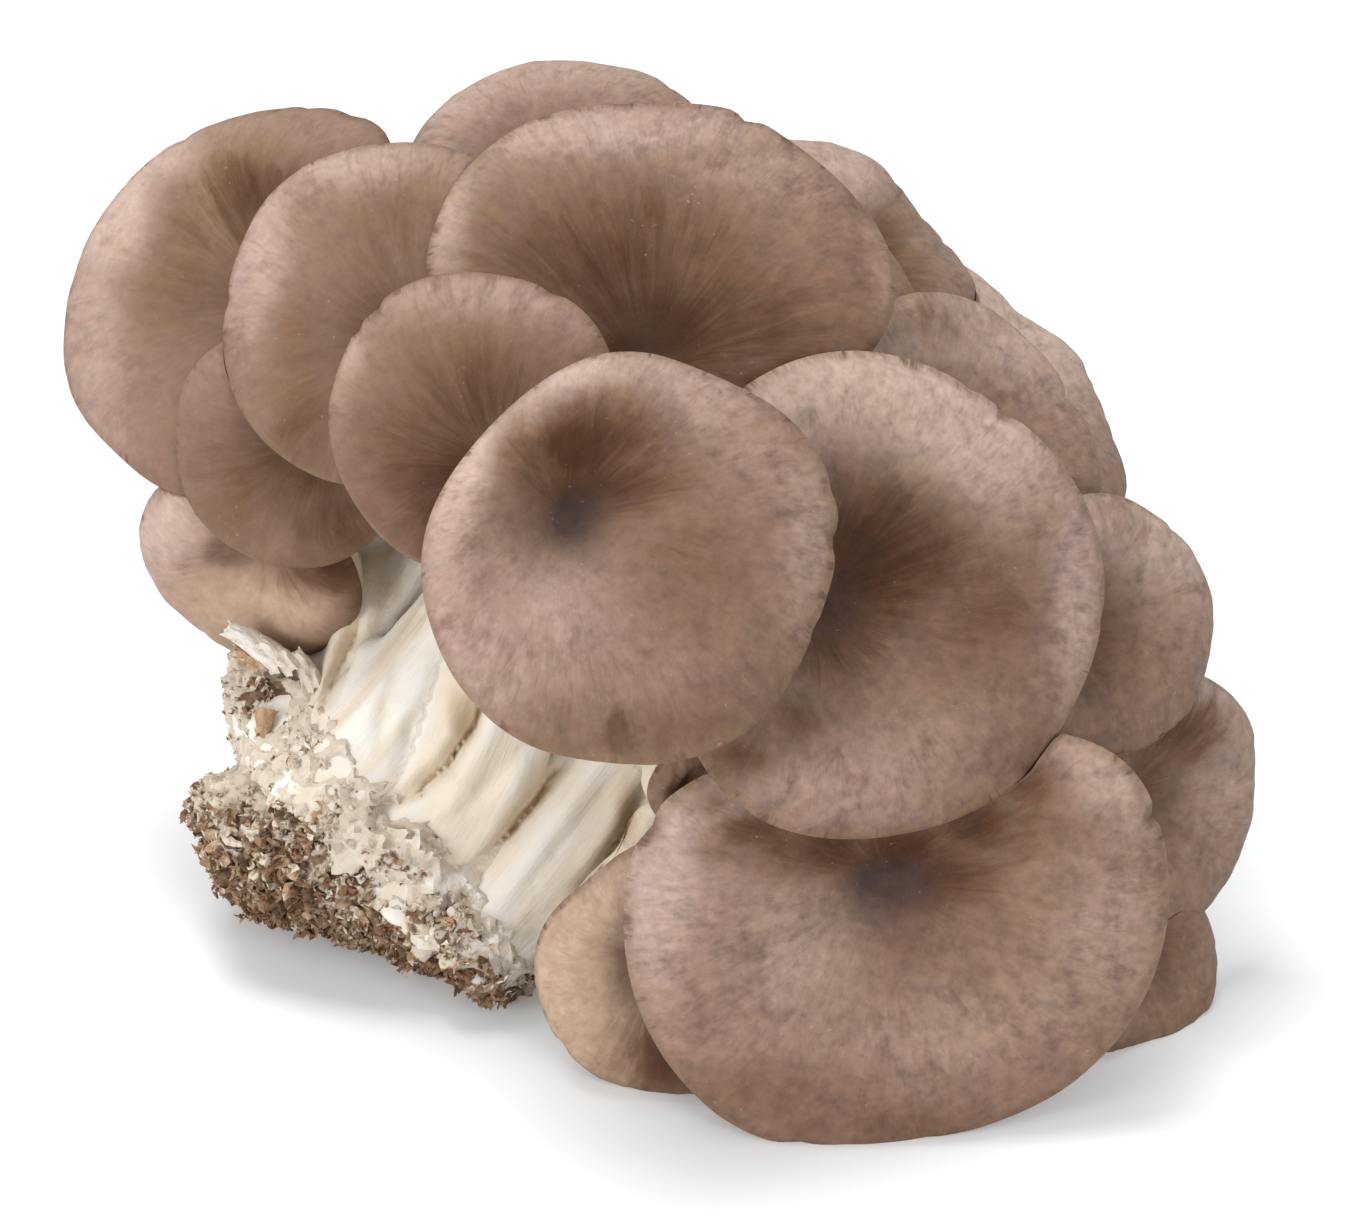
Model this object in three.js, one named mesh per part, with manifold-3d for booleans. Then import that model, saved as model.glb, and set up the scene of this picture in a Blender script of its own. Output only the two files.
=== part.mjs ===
// A cluster of oyster mushrooms, cut from its growing bag and laid on a table.
//
// Units are millimetres, +Z up. Every mushroom is first placed in the growth frame, where +z is the way
// the cluster grew (its caps are shelves that face +z), x runs across the cluster and y runs away from
// its foot. The whole cluster is then leaned over by LEAN, and rests on its lowest caps and its cut foot.
//
// Each mushroom has a brown cap and a pale fan of gills whose neck stands on the cluster's stems. The
// stems have grown together at the foot and are one piece. The crust of growing medium sticks to the
// foot's cut side.

import * as THREE from 'three';
import { mergeVertices } from 'three/addons/utils/BufferGeometryUtils.js';
import Module from 'manifold-3d';

const wasm = await Module();
wasm.setup();

// ---- Driving dimensions -------------------------------------------------------------------------

const LEAN = 60;              // degrees from growing upright to lying on the table
const HEIGHT = 77;            // growth frame's origin above the table
const CENTRE = [3, -24];      // where that origin stands, so that the part's box is centred on X and Y
const GAP = 0.3;              // between two pieces that touch
const CLEAR = 0.5;            // kept round a mushroom's head by whatever lies behind it

const RIM = 1.9;              // thickness of a cap at its rim
const FLESH = 6.0;            // thickness of a cap over its stem
const UNDER = [0.9, 0.5];      // rings of a cap's lower face, as shares of the way to its rim
const WEB = 0.7;              // flesh that holds the gills together at their roots
const GILL_DEPTH = 2.6;       // how far a gill stands out
const NECK = 11;              // how far the gills run down the stem
const FLARE = 5;              // how quickly the gills spread out from the stem

const FOOT_AT = [-55, -39, -46];          // middle of the foot, in the growth frame
const FOOT_LONG = [0.67, -0.74, 0];       // its long way, across the slit that the cluster grew from
const FOOT_OUT = [-0.74, -0.67, 0];       // its cut side, away from the caps
const BUTT = [34, 16, 23];                // half sizes of the solid butt that the stems have grown into
const CRUST = [38, 21, 25];               // half sizes of the lump of growing medium
const CRUST_AT = [-1, -3, -3];            // its middle, from the foot's, the long way, outward and upward
const CRUST_FROM = -5;                    // where the crust begins, outward from the foot's middle
const CHIPS = 84;                         // sawdust chips that stand out of it
const CHIP = [5.2, 2.6, 1.2];             // size of one chip
const STEM_SIDES = 7;                     // flats round a stem
const FAN_FROM = [-82, -108, -60];        // the stems fan out from about this point behind the foot

const CAP_COLOUR = 0x9b8272;
const GILL_COLOUR = 0xd9cdb8;
const STEM_COLOUR = 0xeee6d6;
const CRUST_COLOUR = 0x8a6a4c;

// ---- The mushrooms, front to back ---------------------------------------------------------------
// at: middle of the cap's shoulder
// tip: how far its face tips from +z, and which way, in degrees
// side: the way in the cap's own plane from its middle to its stem, in degrees
// half: half its length that way, and half its width
// off: from its middle to its stem
// notch: share of the rim that is cut in over the stem
// deep: the dimple, the wide funnel and the roll of the rim
// wave: height and number of the rim's waves
// stem: the neck's radius
// foot: where the stem leaves the foot, along it and up, for those that don't follow the fan

const MUSHROOMS = [
  { name: 'front', at: [-6, 9.5, 46], tip: [8, 45], side: 143, half: [33, 35], off: 12,
    notch: 0.1, deep: [6, 5, 5], wave: [0.7, 3], stem: 8, foot: [9, 13] },
  { name: 'front_left', at: [-34, 32, 25], tip: [18, 165], side: -70, half: [25, 25], off: 8,
    notch: 0.1, deep: [4, 5, 4], wave: [0.6, 3], stem: 8, foot: [-10, 14] },
  { name: 'front_right', at: [34, 3, 24], tip: [18, 5], side: 185, half: [40, 40], off: 8,
    notch: 0.1, deep: [5, 9, 5], wave: [0.8, 3], stem: 8, foot: [26, 12] },
  { name: 'front_low', at: [37, -54, 12], tip: [14, -80], side: 100, half: [37, 45], off: 8,
    notch: 0.1, deep: [5, 8, 6], wave: [0.8, 3], stem: 7, foot: [31, 2] },
  { name: 'top_front', at: [-3, 59, 13], tip: [25, 90], side: -95, half: [32, 39], off: 14,
    notch: 0.1, deep: [5, 8, 5], wave: [0.8, 3], stem: 6.5 },
  { name: 'upper_left', at: [-49, 52, 2], tip: [24, 140], side: -45, half: [31, 30], off: 8,
    notch: 0.1, deep: [4, 5, 5], wave: [0.8, 3], stem: 6, foot: [-20, 8] },
  { name: 'left', at: [-65, 27, -10], tip: [22, 225], side: 20, half: [22, 21], off: 6,
    notch: 0.1, deep: [3, 4, 4], wave: [0.6, 3], stem: 5, foot: [-27, 4] },
  { name: 'far_left', at: [-78, 55, -26], tip: [33, 148], side: -10, half: [35, 34], off: 8,
    notch: 0.1, deep: [4, 6, 5], wave: [1.0, 4], stem: 6 },
  { name: 'left_low', at: [-73, 8, -28], tip: [40, 240], side: 40, half: [20, 20], off: 6,
    notch: 0.1, deep: [3, 3, 5], wave: [0.6, 3], stem: 5, foot: [-32, 0] },
  { name: 'top_under', at: [11, 53, -7], tip: [24, 75], side: -105, half: [28, 31], off: 12,
    notch: 0.1, deep: [4, 6, 4], wave: [0.8, 3], stem: 5.5 },
  { name: 'right', at: [75, -2, -3], tip: [36, 0], side: 180, half: [24, 22], off: 7,
    notch: 0.1, deep: [3, 5, 4], wave: [0.8, 4], stem: 5 },
  { name: 'upper_right', at: [49, 28, -2], tip: [34, 30], side: 215, half: [29, 28], off: 9,
    notch: 0.15, deep: [3, 4, 4], wave: [0.8, 4], stem: 5.5 },
  { name: 'low_left', at: [-3, -63, -3], tip: [22, -110], side: 80, half: [21, 21], off: 6,
    notch: 0.1, deep: [3, 3, 5], wave: [0.6, 3], stem: 5.5, foot: [33, -6] },
  { name: 'top_back', at: [-20, 81, -24], tip: [45, 97], side: -90, half: [25, 26], off: 8,
    notch: 0.1, deep: [3, 3, 4], wave: [0.8, 4], stem: 5 },
  { name: 'top_right', at: [28, 65, -26], tip: [45, 50], side: -130, half: [24, 24], off: 7,
    notch: 0.1, deep: [3, 3, 4], wave: [1.0, 5], stem: 5 },
  { name: 'right_back', at: [55, 37, -25], tip: [48, 42], side: 215, half: [30, 30], off: 9,
    notch: 0.1, deep: [3, 4, 4], wave: [1.0, 6], stem: 5 },
  { name: 'right_low', at: [85, -31, -20], tip: [42, -20], side: 165, half: [24, 23], off: 7,
    notch: 0.12, deep: [3, 4, 4], wave: [0.8, 4], stem: 5 },
  { name: 'foot_right', at: [78, -57, -24], tip: [38, -8], side: 150, half: [19, 16], off: 5,
    notch: 0.1, deep: [3, 3, 4], wave: [0.6, 3], stem: 4.5 },
  { name: 'small_front', at: [3, -33, 2], tip: [20, -60], side: 140, half: [9, 9], off: 2,
    notch: 0, deep: [1, 1, 3], wave: [0.3, 3], stem: 3.5, foot: [27, 6] },
  { name: 'back_low', at: [50, -18, -79], tip: [105, 50], side: -120, half: [21, 24], off: 6,
    notch: 0.1, deep: [3, 4, 4], wave: [0.8, 4], stem: 5 },
  { name: 'back_middle', at: [10, 27, -74], tip: [100, 85], side: -100, half: [23, 26], off: 6,
    notch: 0.1, deep: [3, 4, 4], wave: [0.8, 4], stem: 5.5 },
  { name: 'back_left', at: [-50, 38, -75], tip: [95, 110], side: -70, half: [21, 23], off: 6,
    notch: 0.1, deep: [3, 4, 4], wave: [0.8, 4], stem: 5 },
];

// ---- Shape helpers ------------------------------------------------------------------------------

const deg = THREE.MathUtils.degToRad;
const vec = (a) => new THREE.Vector3(...a);

// A closed solid from a geometry, whatever its normals and uvs.
function solidOf(geometry) {
  const bare = new THREE.BufferGeometry();
  bare.setAttribute('position', geometry.getAttribute('position'));
  bare.setIndex(geometry.getIndex());
  const merged = mergeVertices(bare, 1e-4);
  return new wasm.Manifold(new wasm.Mesh({
    numProp: 3,
    vertProperties: merged.getAttribute('position').array,
    triVerts: new Uint32Array(merged.getIndex().array),
  }));
}

// The geometry of a solid, without the loose scraps that a cut may leave.
function geometryOf(solid) {
  const bodies = solid.decompose().sort((a, b) => b.volume() - a.volume());
  const mesh = bodies[0].simplify(0.06).getMesh();
  const points = new Float32Array(mesh.numVert * 3);
  for (let i = 0; i < mesh.numVert; i += 1) {
    points.set(mesh.vertProperties.subarray(i * mesh.numProp, i * mesh.numProp + 3), i * 3);
  }
  const geometry = new THREE.BufferGeometry();
  geometry.setAttribute('position', new THREE.BufferAttribute(points, 3));
  geometry.setIndex(new THREE.BufferAttribute(mesh.triVerts, 1));
  geometry.computeVertexNormals();
  return geometry;
}

// A closed skin over rings of points. A ring may hold as many points as the one before it, half or twice
// as many, or a single point. Rings that run counter-clockwise from above go from the top down.
function loft(rings) {
  const points = rings.flat();
  const faces = [];
  let start = 0;
  for (let k = 0; k + 1 < rings.length; k += 1) {
    const [n, m] = [rings[k].length, rings[k + 1].length];
    const next = start + n;
    const a = (i) => start + (i % n);
    const b = (i) => next + (i % m);
    for (let i = 0; i < Math.max(n, m); i += 1) {
      const [half, odd] = [i >> 1, i % 2 === 1];
      if (n === 1) faces.push([a(0), b(i), b(i + 1)]);
      else if (m === 1) faces.push([a(i), b(0), a(i + 1)]);
      else if (n === m) faces.push([a(i), b(i), b(i + 1)], [a(i), b(i + 1), a(i + 1)]);
      else if (m > n && odd) faces.push([a(half + 1), b(i), b(i + 1)]);
      else if (m > n) faces.push([a(half), b(i), b(i + 1)], [a(half), b(i + 1), a(half + 1)]);
      else if (odd) faces.push([a(i), b(half), b(half + 1)], [a(i), b(half + 1), a(i + 1)]);
      else faces.push([a(i), b(half), a(i + 1)]);
    }
    start = next;
  }
  const geometry = new THREE.BufferGeometry();
  geometry.setAttribute('position', new THREE.Float32BufferAttribute(points.flatMap((p) => p.toArray()), 3));
  geometry.setIndex(faces.flat());
  return geometry;
}

const ring = (count, point) => Array.from({ length: count }, (_, i) => point((2 * Math.PI * i) / count, i));

// ---- One mushroom's surfaces --------------------------------------------------------------------

// Turns the cap's own frame (x, y in its plane, z out of its face) into the growth frame.
function capTurn(m) {
  const tipAxis = new THREE.Vector3(-Math.sin(deg(m.tip[1])), Math.cos(deg(m.tip[1])), 0);
  return new THREE.Quaternion().setFromAxisAngle(tipAxis, deg(m.tip[0]));
}

// Distance of the rim from the cap's middle at an angle: an ellipse with a notch over the stem and
// shallow lobes.
function rimAt(m, angle) {
  const turn = angle - deg(m.side);
  const back = Math.atan2(Math.sin(turn), Math.cos(turn));
  const ellipse = 1 / Math.hypot(Math.cos(turn) / m.half[0], Math.sin(turn) / m.half[1]);
  const notch = 1 - m.notch * Math.exp(-((back / 0.55) ** 2));
  const lobes = 1 + 0.018 * Math.sin(3 * turn + m.phase) + 0.012 * Math.sin(5 * turn + 2 * m.phase);
  return ellipse * notch * lobes;
}

// Height of the cap's upper face over its shoulder, at a share s of the way from the dimple to the rim.
function faceHeight(m, s, angle) {
  const [dimple, funnel, roll] = m.deep;
  const [height, count] = m.wave;
  return -dimple * Math.exp(-((s / 0.3) ** 2)) - funnel * (1 - s) ** 2
    - roll * Math.max(0, (s - 0.6) / 0.4) ** 2 + height * s * s * Math.sin(count * angle + m.phase);
}

const fleshAt = (s) => RIM + (FLESH - RIM) * (1 - s) ** 1.2;
const dimpleDepth = (m) => faceHeight(m, 0, 0);

// Height of the cap's lower face, which runs straight from ring to ring.
function underside(m, s, angle) {
  const ringHeight = (at) => faceHeight(m, at, at ? angle : 0) - fleshAt(at);
  const [inner, outer] = s < UNDER[1] ? [0, UNDER[1]] : [UNDER[1], UNDER[0]];
  const share = (s - inner) / (outer - inner);
  return ringHeight(inner) + share * (ringHeight(outer) - ringHeight(inner));
}

// A point over the share s of the way to the rim, at a height in the cap's own frame. room widens the cap.
function headPoint(m, s, angle, height, room = 0) {
  const rim = (rimAt(m, angle) + room) * s;
  const stem = m.off * (1 - s);
  const local = new THREE.Vector3(
    rim * Math.cos(angle) + stem * Math.cos(deg(m.side)),
    rim * Math.sin(angle) + stem * Math.sin(deg(m.side)),
    height,
  );
  return local.applyQuaternion(capTurn(m)).add(vec(m.at));
}

// A point on a circle round the stem's axis, at a height in the cap's own frame.
function neckPoint(m, angle, height, radius) {
  const out = new THREE.Vector3(radius * Math.cos(angle), radius * Math.sin(angle), 0);
  return headPoint(m, 0, 0, height).add(out.applyQuaternion(capTurn(m)));
}

// A point under the cap, at a share t of the way from the neck's side to the rim and at a depth below the
// gills' roots. The roots lie under the flesh, and lower as they run down the stem.
function underPoint(m, t, angle, depth, room = 0) {
  const reach = headPoint(m, 1, angle, 0).distanceTo(headPoint(m, 0, angle, 0));
  const s = t + ((1 - t) * m.stem) / reach;
  const run = (NECK - 2) * Math.exp((-t * (reach - m.stem)) / FLARE);
  return headPoint(m, s, angle, underside(m, s, angle) - GAP - WEB - run - depth, room);
}

function capGeometry(m) {
  const top = (s) => ring(m.sides, (a) => headPoint(m, s, a, faceHeight(m, s, a)));
  const under = (s) => ring(m.sides, (a) => headPoint(m, s, a, underside(m, s, a)));
  return loft([
    [headPoint(m, 0, 0, dimpleDepth(m))],
    top(0.24), top(0.62), top(0.92),
    ring(m.sides, (a) => headPoint(m, 1, a, faceHeight(m, 1, a) - 0.5 * RIM)),
    ...UNDER.map(under),
    [headPoint(m, 0, 0, dimpleDepth(m) - FLESH)],
  ]);
}

// The gills: ridges from inside the rim down to the neck, whose end lies flat on the stem.
function gillGeometry(m) {
  const upper = (s) => ring(m.sides, (a) => headPoint(m, s, a, underside(m, s, a) - GAP));
  const ridged = (t, depth) => ring(2 * m.sides, (a, i) => underPoint(m, t, a, i % 2 ? 0 : depth));
  const end = dimpleDepth(m) - FLESH - NECK;
  return loft([
    [headPoint(m, 0, 0, dimpleDepth(m) - FLESH - GAP)],
    ...UNDER.toReversed().map(upper), ridged(0.58, 0.9 * GILL_DEPTH), ridged(0.2, GILL_DEPTH),
    ring(m.sides, (a) => neckPoint(m, a, end, m.stem)),
    [neckPoint(m, 0, end, 0)],
  ]);
}

// The whole head with room round it, which is cut out of whatever lies behind.
function headRoom(m) {
  const top = (s) => ring(m.sides, (a) => headPoint(m, s, a, faceHeight(m, s, a) + CLEAR, CLEAR));
  const under = (t) => ring(m.sides, (a) => underPoint(m, t, a, GILL_DEPTH + CLEAR, CLEAR));
  const end = dimpleDepth(m) - FLESH - NECK;
  return loft([
    [headPoint(m, 0, 0, dimpleDepth(m) + CLEAR)],
    top(0.24), top(0.62), top(0.92), top(1),
    ring(m.sides, (a) => headPoint(m, 1, a, faceHeight(m, 1, a) - RIM - CLEAR, CLEAR)),
    under(0.58), under(0.2),
    ring(m.sides, (a) => neckPoint(m, a, end, m.stem + CLEAR)),
    [neckPoint(m, 0, end, 0)],
  ]);
}

// ---- Stems and foot -----------------------------------------------------------------------------

// A point beside the foot's middle: so far along it, outward and up.
const byFoot = (along, out, up) => vec(FOOT_AT)
  .addScaledVector(vec(FOOT_LONG), along)
  .addScaledVector(vec(FOOT_OUT), out)
  .add(new THREE.Vector3(0, 0, up));

// Where a stem grows out of the foot: where it is told to, or on the line from the fan's point to its cap.
function rootOf(m) {
  if (m.foot) return byFoot(m.foot[0], 4, m.foot[1]);
  const toCap = headPoint(m, 0, 0, 0).sub(vec(FAN_FROM));
  const toFoot = vec(FOOT_AT).sub(vec(FAN_FROM));
  const at = toCap.multiplyScalar(toFoot.dot(vec(FOOT_OUT)) / toCap.dot(vec(FOOT_OUT))).sub(toFoot);
  const held = (x, most) => most * Math.tanh(x / most);
  return byFoot(held(at.dot(vec(FOOT_LONG)), 24), 4, held(at.z, 11));
}

// A stem: a tapering tube along a curve that leaves the neck straight down.
function stemGeometry(m) {
  const neck = neckPoint(m, 0, dimpleDepth(m) - FLESH - NECK - GAP, 0);
  const root = rootOf(m);
  const reach = 0.35 * neck.distanceTo(root);
  const down = new THREE.Vector3(0, 0, -1).applyQuaternion(capTurn(m));
  const leave = vec(FOOT_OUT).negate();
  const path = new THREE.CubicBezierCurve3(
    root, root.clone().addScaledVector(leave, reach), neck.clone().addScaledVector(down, reach), neck);
  const steps = 5;
  const frames = path.computeFrenetFrames(steps, false);
  const rings = [[root]];
  for (let k = 0; k <= steps; k += 1) {
    const t = k / steps;
    const radius = m.stem * (1.12 - 0.21 * Math.sin(Math.PI * t) - 0.12 * t);
    const centre = path.getPointAt(t);
    rings.push(ring(STEM_SIDES, (a) => centre.clone()
      .addScaledVector(frames.normals[k], radius * Math.cos(a))
      .addScaledVector(frames.binormals[k], radius * Math.sin(a))));
  }
  return loft([...rings, [neck]].reverse());
}

// A lumpy ellipsoid, from a sphere.
function lumpGeometry(around, down, half, middle, lumps) {
  const geometry = new THREE.SphereGeometry(1, around, down);
  const at = geometry.getAttribute('position');
  for (let i = 0; i < at.count; i += 1) {
    const p = new THREE.Vector3().fromBufferAttribute(at, i);
    const bumps = Math.sin(5 * p.x + 3 * p.y) * Math.cos(4 * p.z) + 0.6 * Math.sin(7 * p.y - 6 * p.z + 1);
    const swell = 1 + lumps * bumps;
    const [along, out, up] = [p.x, p.z, p.y].map((c, k) => middle[k] + half[k] * swell * c);
    at.setXYZ(i, ...byFoot(along, out, up).toArray());
  }
  return geometry;
}

// One chip of sawdust: a tapering flake that stands out of the crust, bent over at its tip.
function chipGeometry(i, random) {
  const rise = 1 - (1.55 * (i + 0.5)) / CHIPS;
  const around = 2.399963 * i;
  const flat = Math.sqrt(1 - rise * rise);
  const normal = new THREE.Vector3(flat * Math.cos(around), rise, flat * Math.sin(around));
  const middle = byFoot(...CRUST_AT.map((c, k) => c + 0.97 * CRUST[k] * normal.getComponent(k)));
  const outward = middle.clone().sub(byFoot(...CRUST_AT)).normalize();
  const lean = new THREE.Vector3(random() - 0.5, random() - 0.5, random() - 0.5).multiplyScalar(1.5);
  const size = 0.7 + 0.6 * random();
  const long = outward.clone().add(lean).normalize();
  const wide = new THREE.Vector3(random() - 0.5, random() - 0.5, random() - 0.5).cross(long).normalize();
  const thick = long.clone().cross(wide).normalize();
  const geometry = new THREE.BoxGeometry(1, 1, 1);
  const at = geometry.getAttribute('position');
  for (let k = 0; k < at.count; k += 1) {
    const [x, y, z] = [at.getX(k), at.getY(k), at.getZ(k)];
    const taper = 0.85 - 0.45 * z;
    const p = middle.clone()
      .addScaledVector(wide, x * CHIP[1] * size * taper)
      .addScaledVector(thick, y * CHIP[2] * size + (z > 0 ? 0.9 : 0))
      .addScaledVector(long, z * CHIP[0] * size);
    at.setXYZ(k, ...p.toArray());
  }
  return geometry;
}

// ---- The cluster --------------------------------------------------------------------------------

// The same numbers in the same order every time.
function seeded(seed) {
  let state = seed;
  return () => {
    state = (1664525 * state + 1013904223) % 4294967296;
    return state / 4294967296;
  };
}

const up = [0, Math.sin(deg(LEAN)), Math.cos(deg(LEAN))];        // the world's +z, in the growth frame
const onTable = (solid) => solid.trimByPlane(up, -HEIGHT);

const cluster = new THREE.Group();
cluster.name = 'cluster';
cluster.rotation.x = deg(LEAN);
cluster.position.set(...CENTRE, HEIGHT);
const group = new THREE.Group();
group.add(cluster);

function add(name, solid, colour, roughness) {
  const material = new THREE.MeshStandardMaterial({ color: colour, roughness, metalness: 0 });
  const mesh = new THREE.Mesh(geometryOf(onTable(solid)), material);
  mesh.name = name;
  cluster.add(mesh);
}

MUSHROOMS.forEach((m, i) => {
  m.phase = 2.4 * i;
  m.sides = Math.round(5 + 0.17 * (m.half[0] + m.half[1]));
});

const rooms = MUSHROOMS.map((m) => solidOf(headRoom(m)));
MUSHROOMS.forEach((m, i) => {
  const inFront = rooms.slice(0, i);
  add('cap_' + m.name, wasm.Manifold.difference([solidOf(capGeometry(m)), ...inFront]), CAP_COLOUR, 0.6);
  add('gills_' + m.name, wasm.Manifold.difference([solidOf(gillGeometry(m)), ...inFront]), GILL_COLOUR, 0.7);
});

const outward = vec(FOOT_OUT).toArray();
const crustStart = vec(FOOT_AT).dot(vec(FOOT_OUT)) + CRUST_FROM;
const butt = solidOf(lumpGeometry(16, 9, BUTT, [0, 0, 0], 0.05));
const grown = wasm.Manifold.union([butt, ...MUSHROOMS.map((m) => solidOf(stemGeometry(m)))]);
const stems = wasm.Manifold.difference([grown, ...rooms]).trimByPlane(outward.map((x) => -x), GAP - crustStart);
add('stems', stems, STEM_COLOUR, 0.6);

const random = seeded(7);
const chips = Array.from({ length: CHIPS }, (_, i) => solidOf(chipGeometry(i, random)));
const lump = solidOf(lumpGeometry(20, 11, CRUST, CRUST_AT, 0.06));
const crust = wasm.Manifold.difference([wasm.Manifold.union([lump, ...chips]), ...rooms]);
add('crust', crust.trimByPlane(outward, crustStart), CRUST_COLOUR, 0.95);

export default group;
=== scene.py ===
"""The fine surfaces and finishes of a cluster of oyster mushrooms: its caps, gills, stems and crust.

The cluster is worked out in its growth frame, in millimetres: +z is the way it grew, x runs across it and
y runs away from its foot. placed() leans it over onto the table and gives metres.
"""

import math
from collections import namedtuple

import bpy
import numpy as np
from bpy.props import FloatProperty, FloatVectorProperty, IntProperty, PointerProperty
from mathutils import Euler, Matrix, Vector, noise
from mathutils.bvhtree import BVHTree


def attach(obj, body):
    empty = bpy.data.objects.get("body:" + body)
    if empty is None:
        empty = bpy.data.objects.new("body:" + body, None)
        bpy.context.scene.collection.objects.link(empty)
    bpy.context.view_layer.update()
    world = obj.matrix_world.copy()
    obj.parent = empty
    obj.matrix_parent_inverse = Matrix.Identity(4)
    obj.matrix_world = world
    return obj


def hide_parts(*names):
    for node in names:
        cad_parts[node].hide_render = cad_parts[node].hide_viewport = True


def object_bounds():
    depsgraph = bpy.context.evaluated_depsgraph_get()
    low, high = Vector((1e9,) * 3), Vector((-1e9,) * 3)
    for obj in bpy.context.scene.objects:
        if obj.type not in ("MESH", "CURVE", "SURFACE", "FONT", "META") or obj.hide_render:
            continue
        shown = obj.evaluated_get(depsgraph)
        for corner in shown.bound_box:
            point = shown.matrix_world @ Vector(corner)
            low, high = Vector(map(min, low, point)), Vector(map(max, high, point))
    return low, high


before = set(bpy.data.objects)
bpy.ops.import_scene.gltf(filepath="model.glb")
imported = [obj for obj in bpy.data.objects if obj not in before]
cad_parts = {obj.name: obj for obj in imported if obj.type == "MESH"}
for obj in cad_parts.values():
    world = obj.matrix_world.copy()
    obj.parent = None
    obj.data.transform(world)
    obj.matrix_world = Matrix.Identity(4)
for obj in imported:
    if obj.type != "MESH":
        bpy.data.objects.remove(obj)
CAD_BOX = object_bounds()

bl_info = {
    "name": "Oyster Mushroom Cluster",
    "version": (1, 0, 0),
    "blender": (4, 5, 0),
    "location": "View3D > Sidebar > Oysters",
    "description": "Models the caps, gills, stems and crust of a cluster of oyster mushrooms",
    "category": "Object",
}

# ---- Where things are ----

MM = 0.001
LEAN = math.radians(60)       # from growing upright to lying on the table
HEIGHT = 77.0                 # growth frame's origin above the table
CENTRE = (3.0, -24.0)         # where that origin stands on the table
GAP = 0.3                     # between a cap and its gills
CLEAR = 0.05                  # kept round a mushroom's head by whatever lies behind it

FOOT_AT = np.array([-55.0, -39.0, -46.0])    # middle of the foot
FOOT_LONG = np.array([0.67, -0.74, 0.0])     # its long way
FOOT_OUT = np.array([-0.74, -0.67, 0.0])     # its cut side, away from the caps
# Half sizes of the butt and of the crust, and their middles from the foot's: along it, outward and up.
BUTT, BUTT_AT = (32.0, 13.0, 19.0), (0.0, -3.0, -2.0)
CRUST, CRUST_AT = (29.5, 19.5, 26.0), (7.5, -1.0, -2.0)
FAN_FROM = np.array([-82.0, -108.0, -60.0])  # the stems fan out from about this point behind the foot
SEEN_FROM = np.array([0.0, 0.0, 1.0])        # the growth frame's way towards whoever looks at the caps

CAMERA_DISTANCE = 1.2         # metres from the middle of the cluster
CAMERA_RISE = math.radians(30)
FRAME_WIDTH = 1345            # pixels across
PIXELS_PER_MM = 6             # at the middle of the cluster
SENSOR_WIDTH = 36.0
WORLD_LIGHT = 0.53
# Soft boxes: name, place and size in metres, and power in watts.
LIGHTS = [("overhead", (-0.25, 0.15, 1.4), 0.6, 11.5), ("from_left", (-1.2, -0.9, 0.45), 0.5, 10.5),
          ("from_right", (0.5, -1.2, 0.9), 0.6, 5)]
LIGHTS_AIM = (0, 0, 0.06)

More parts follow.
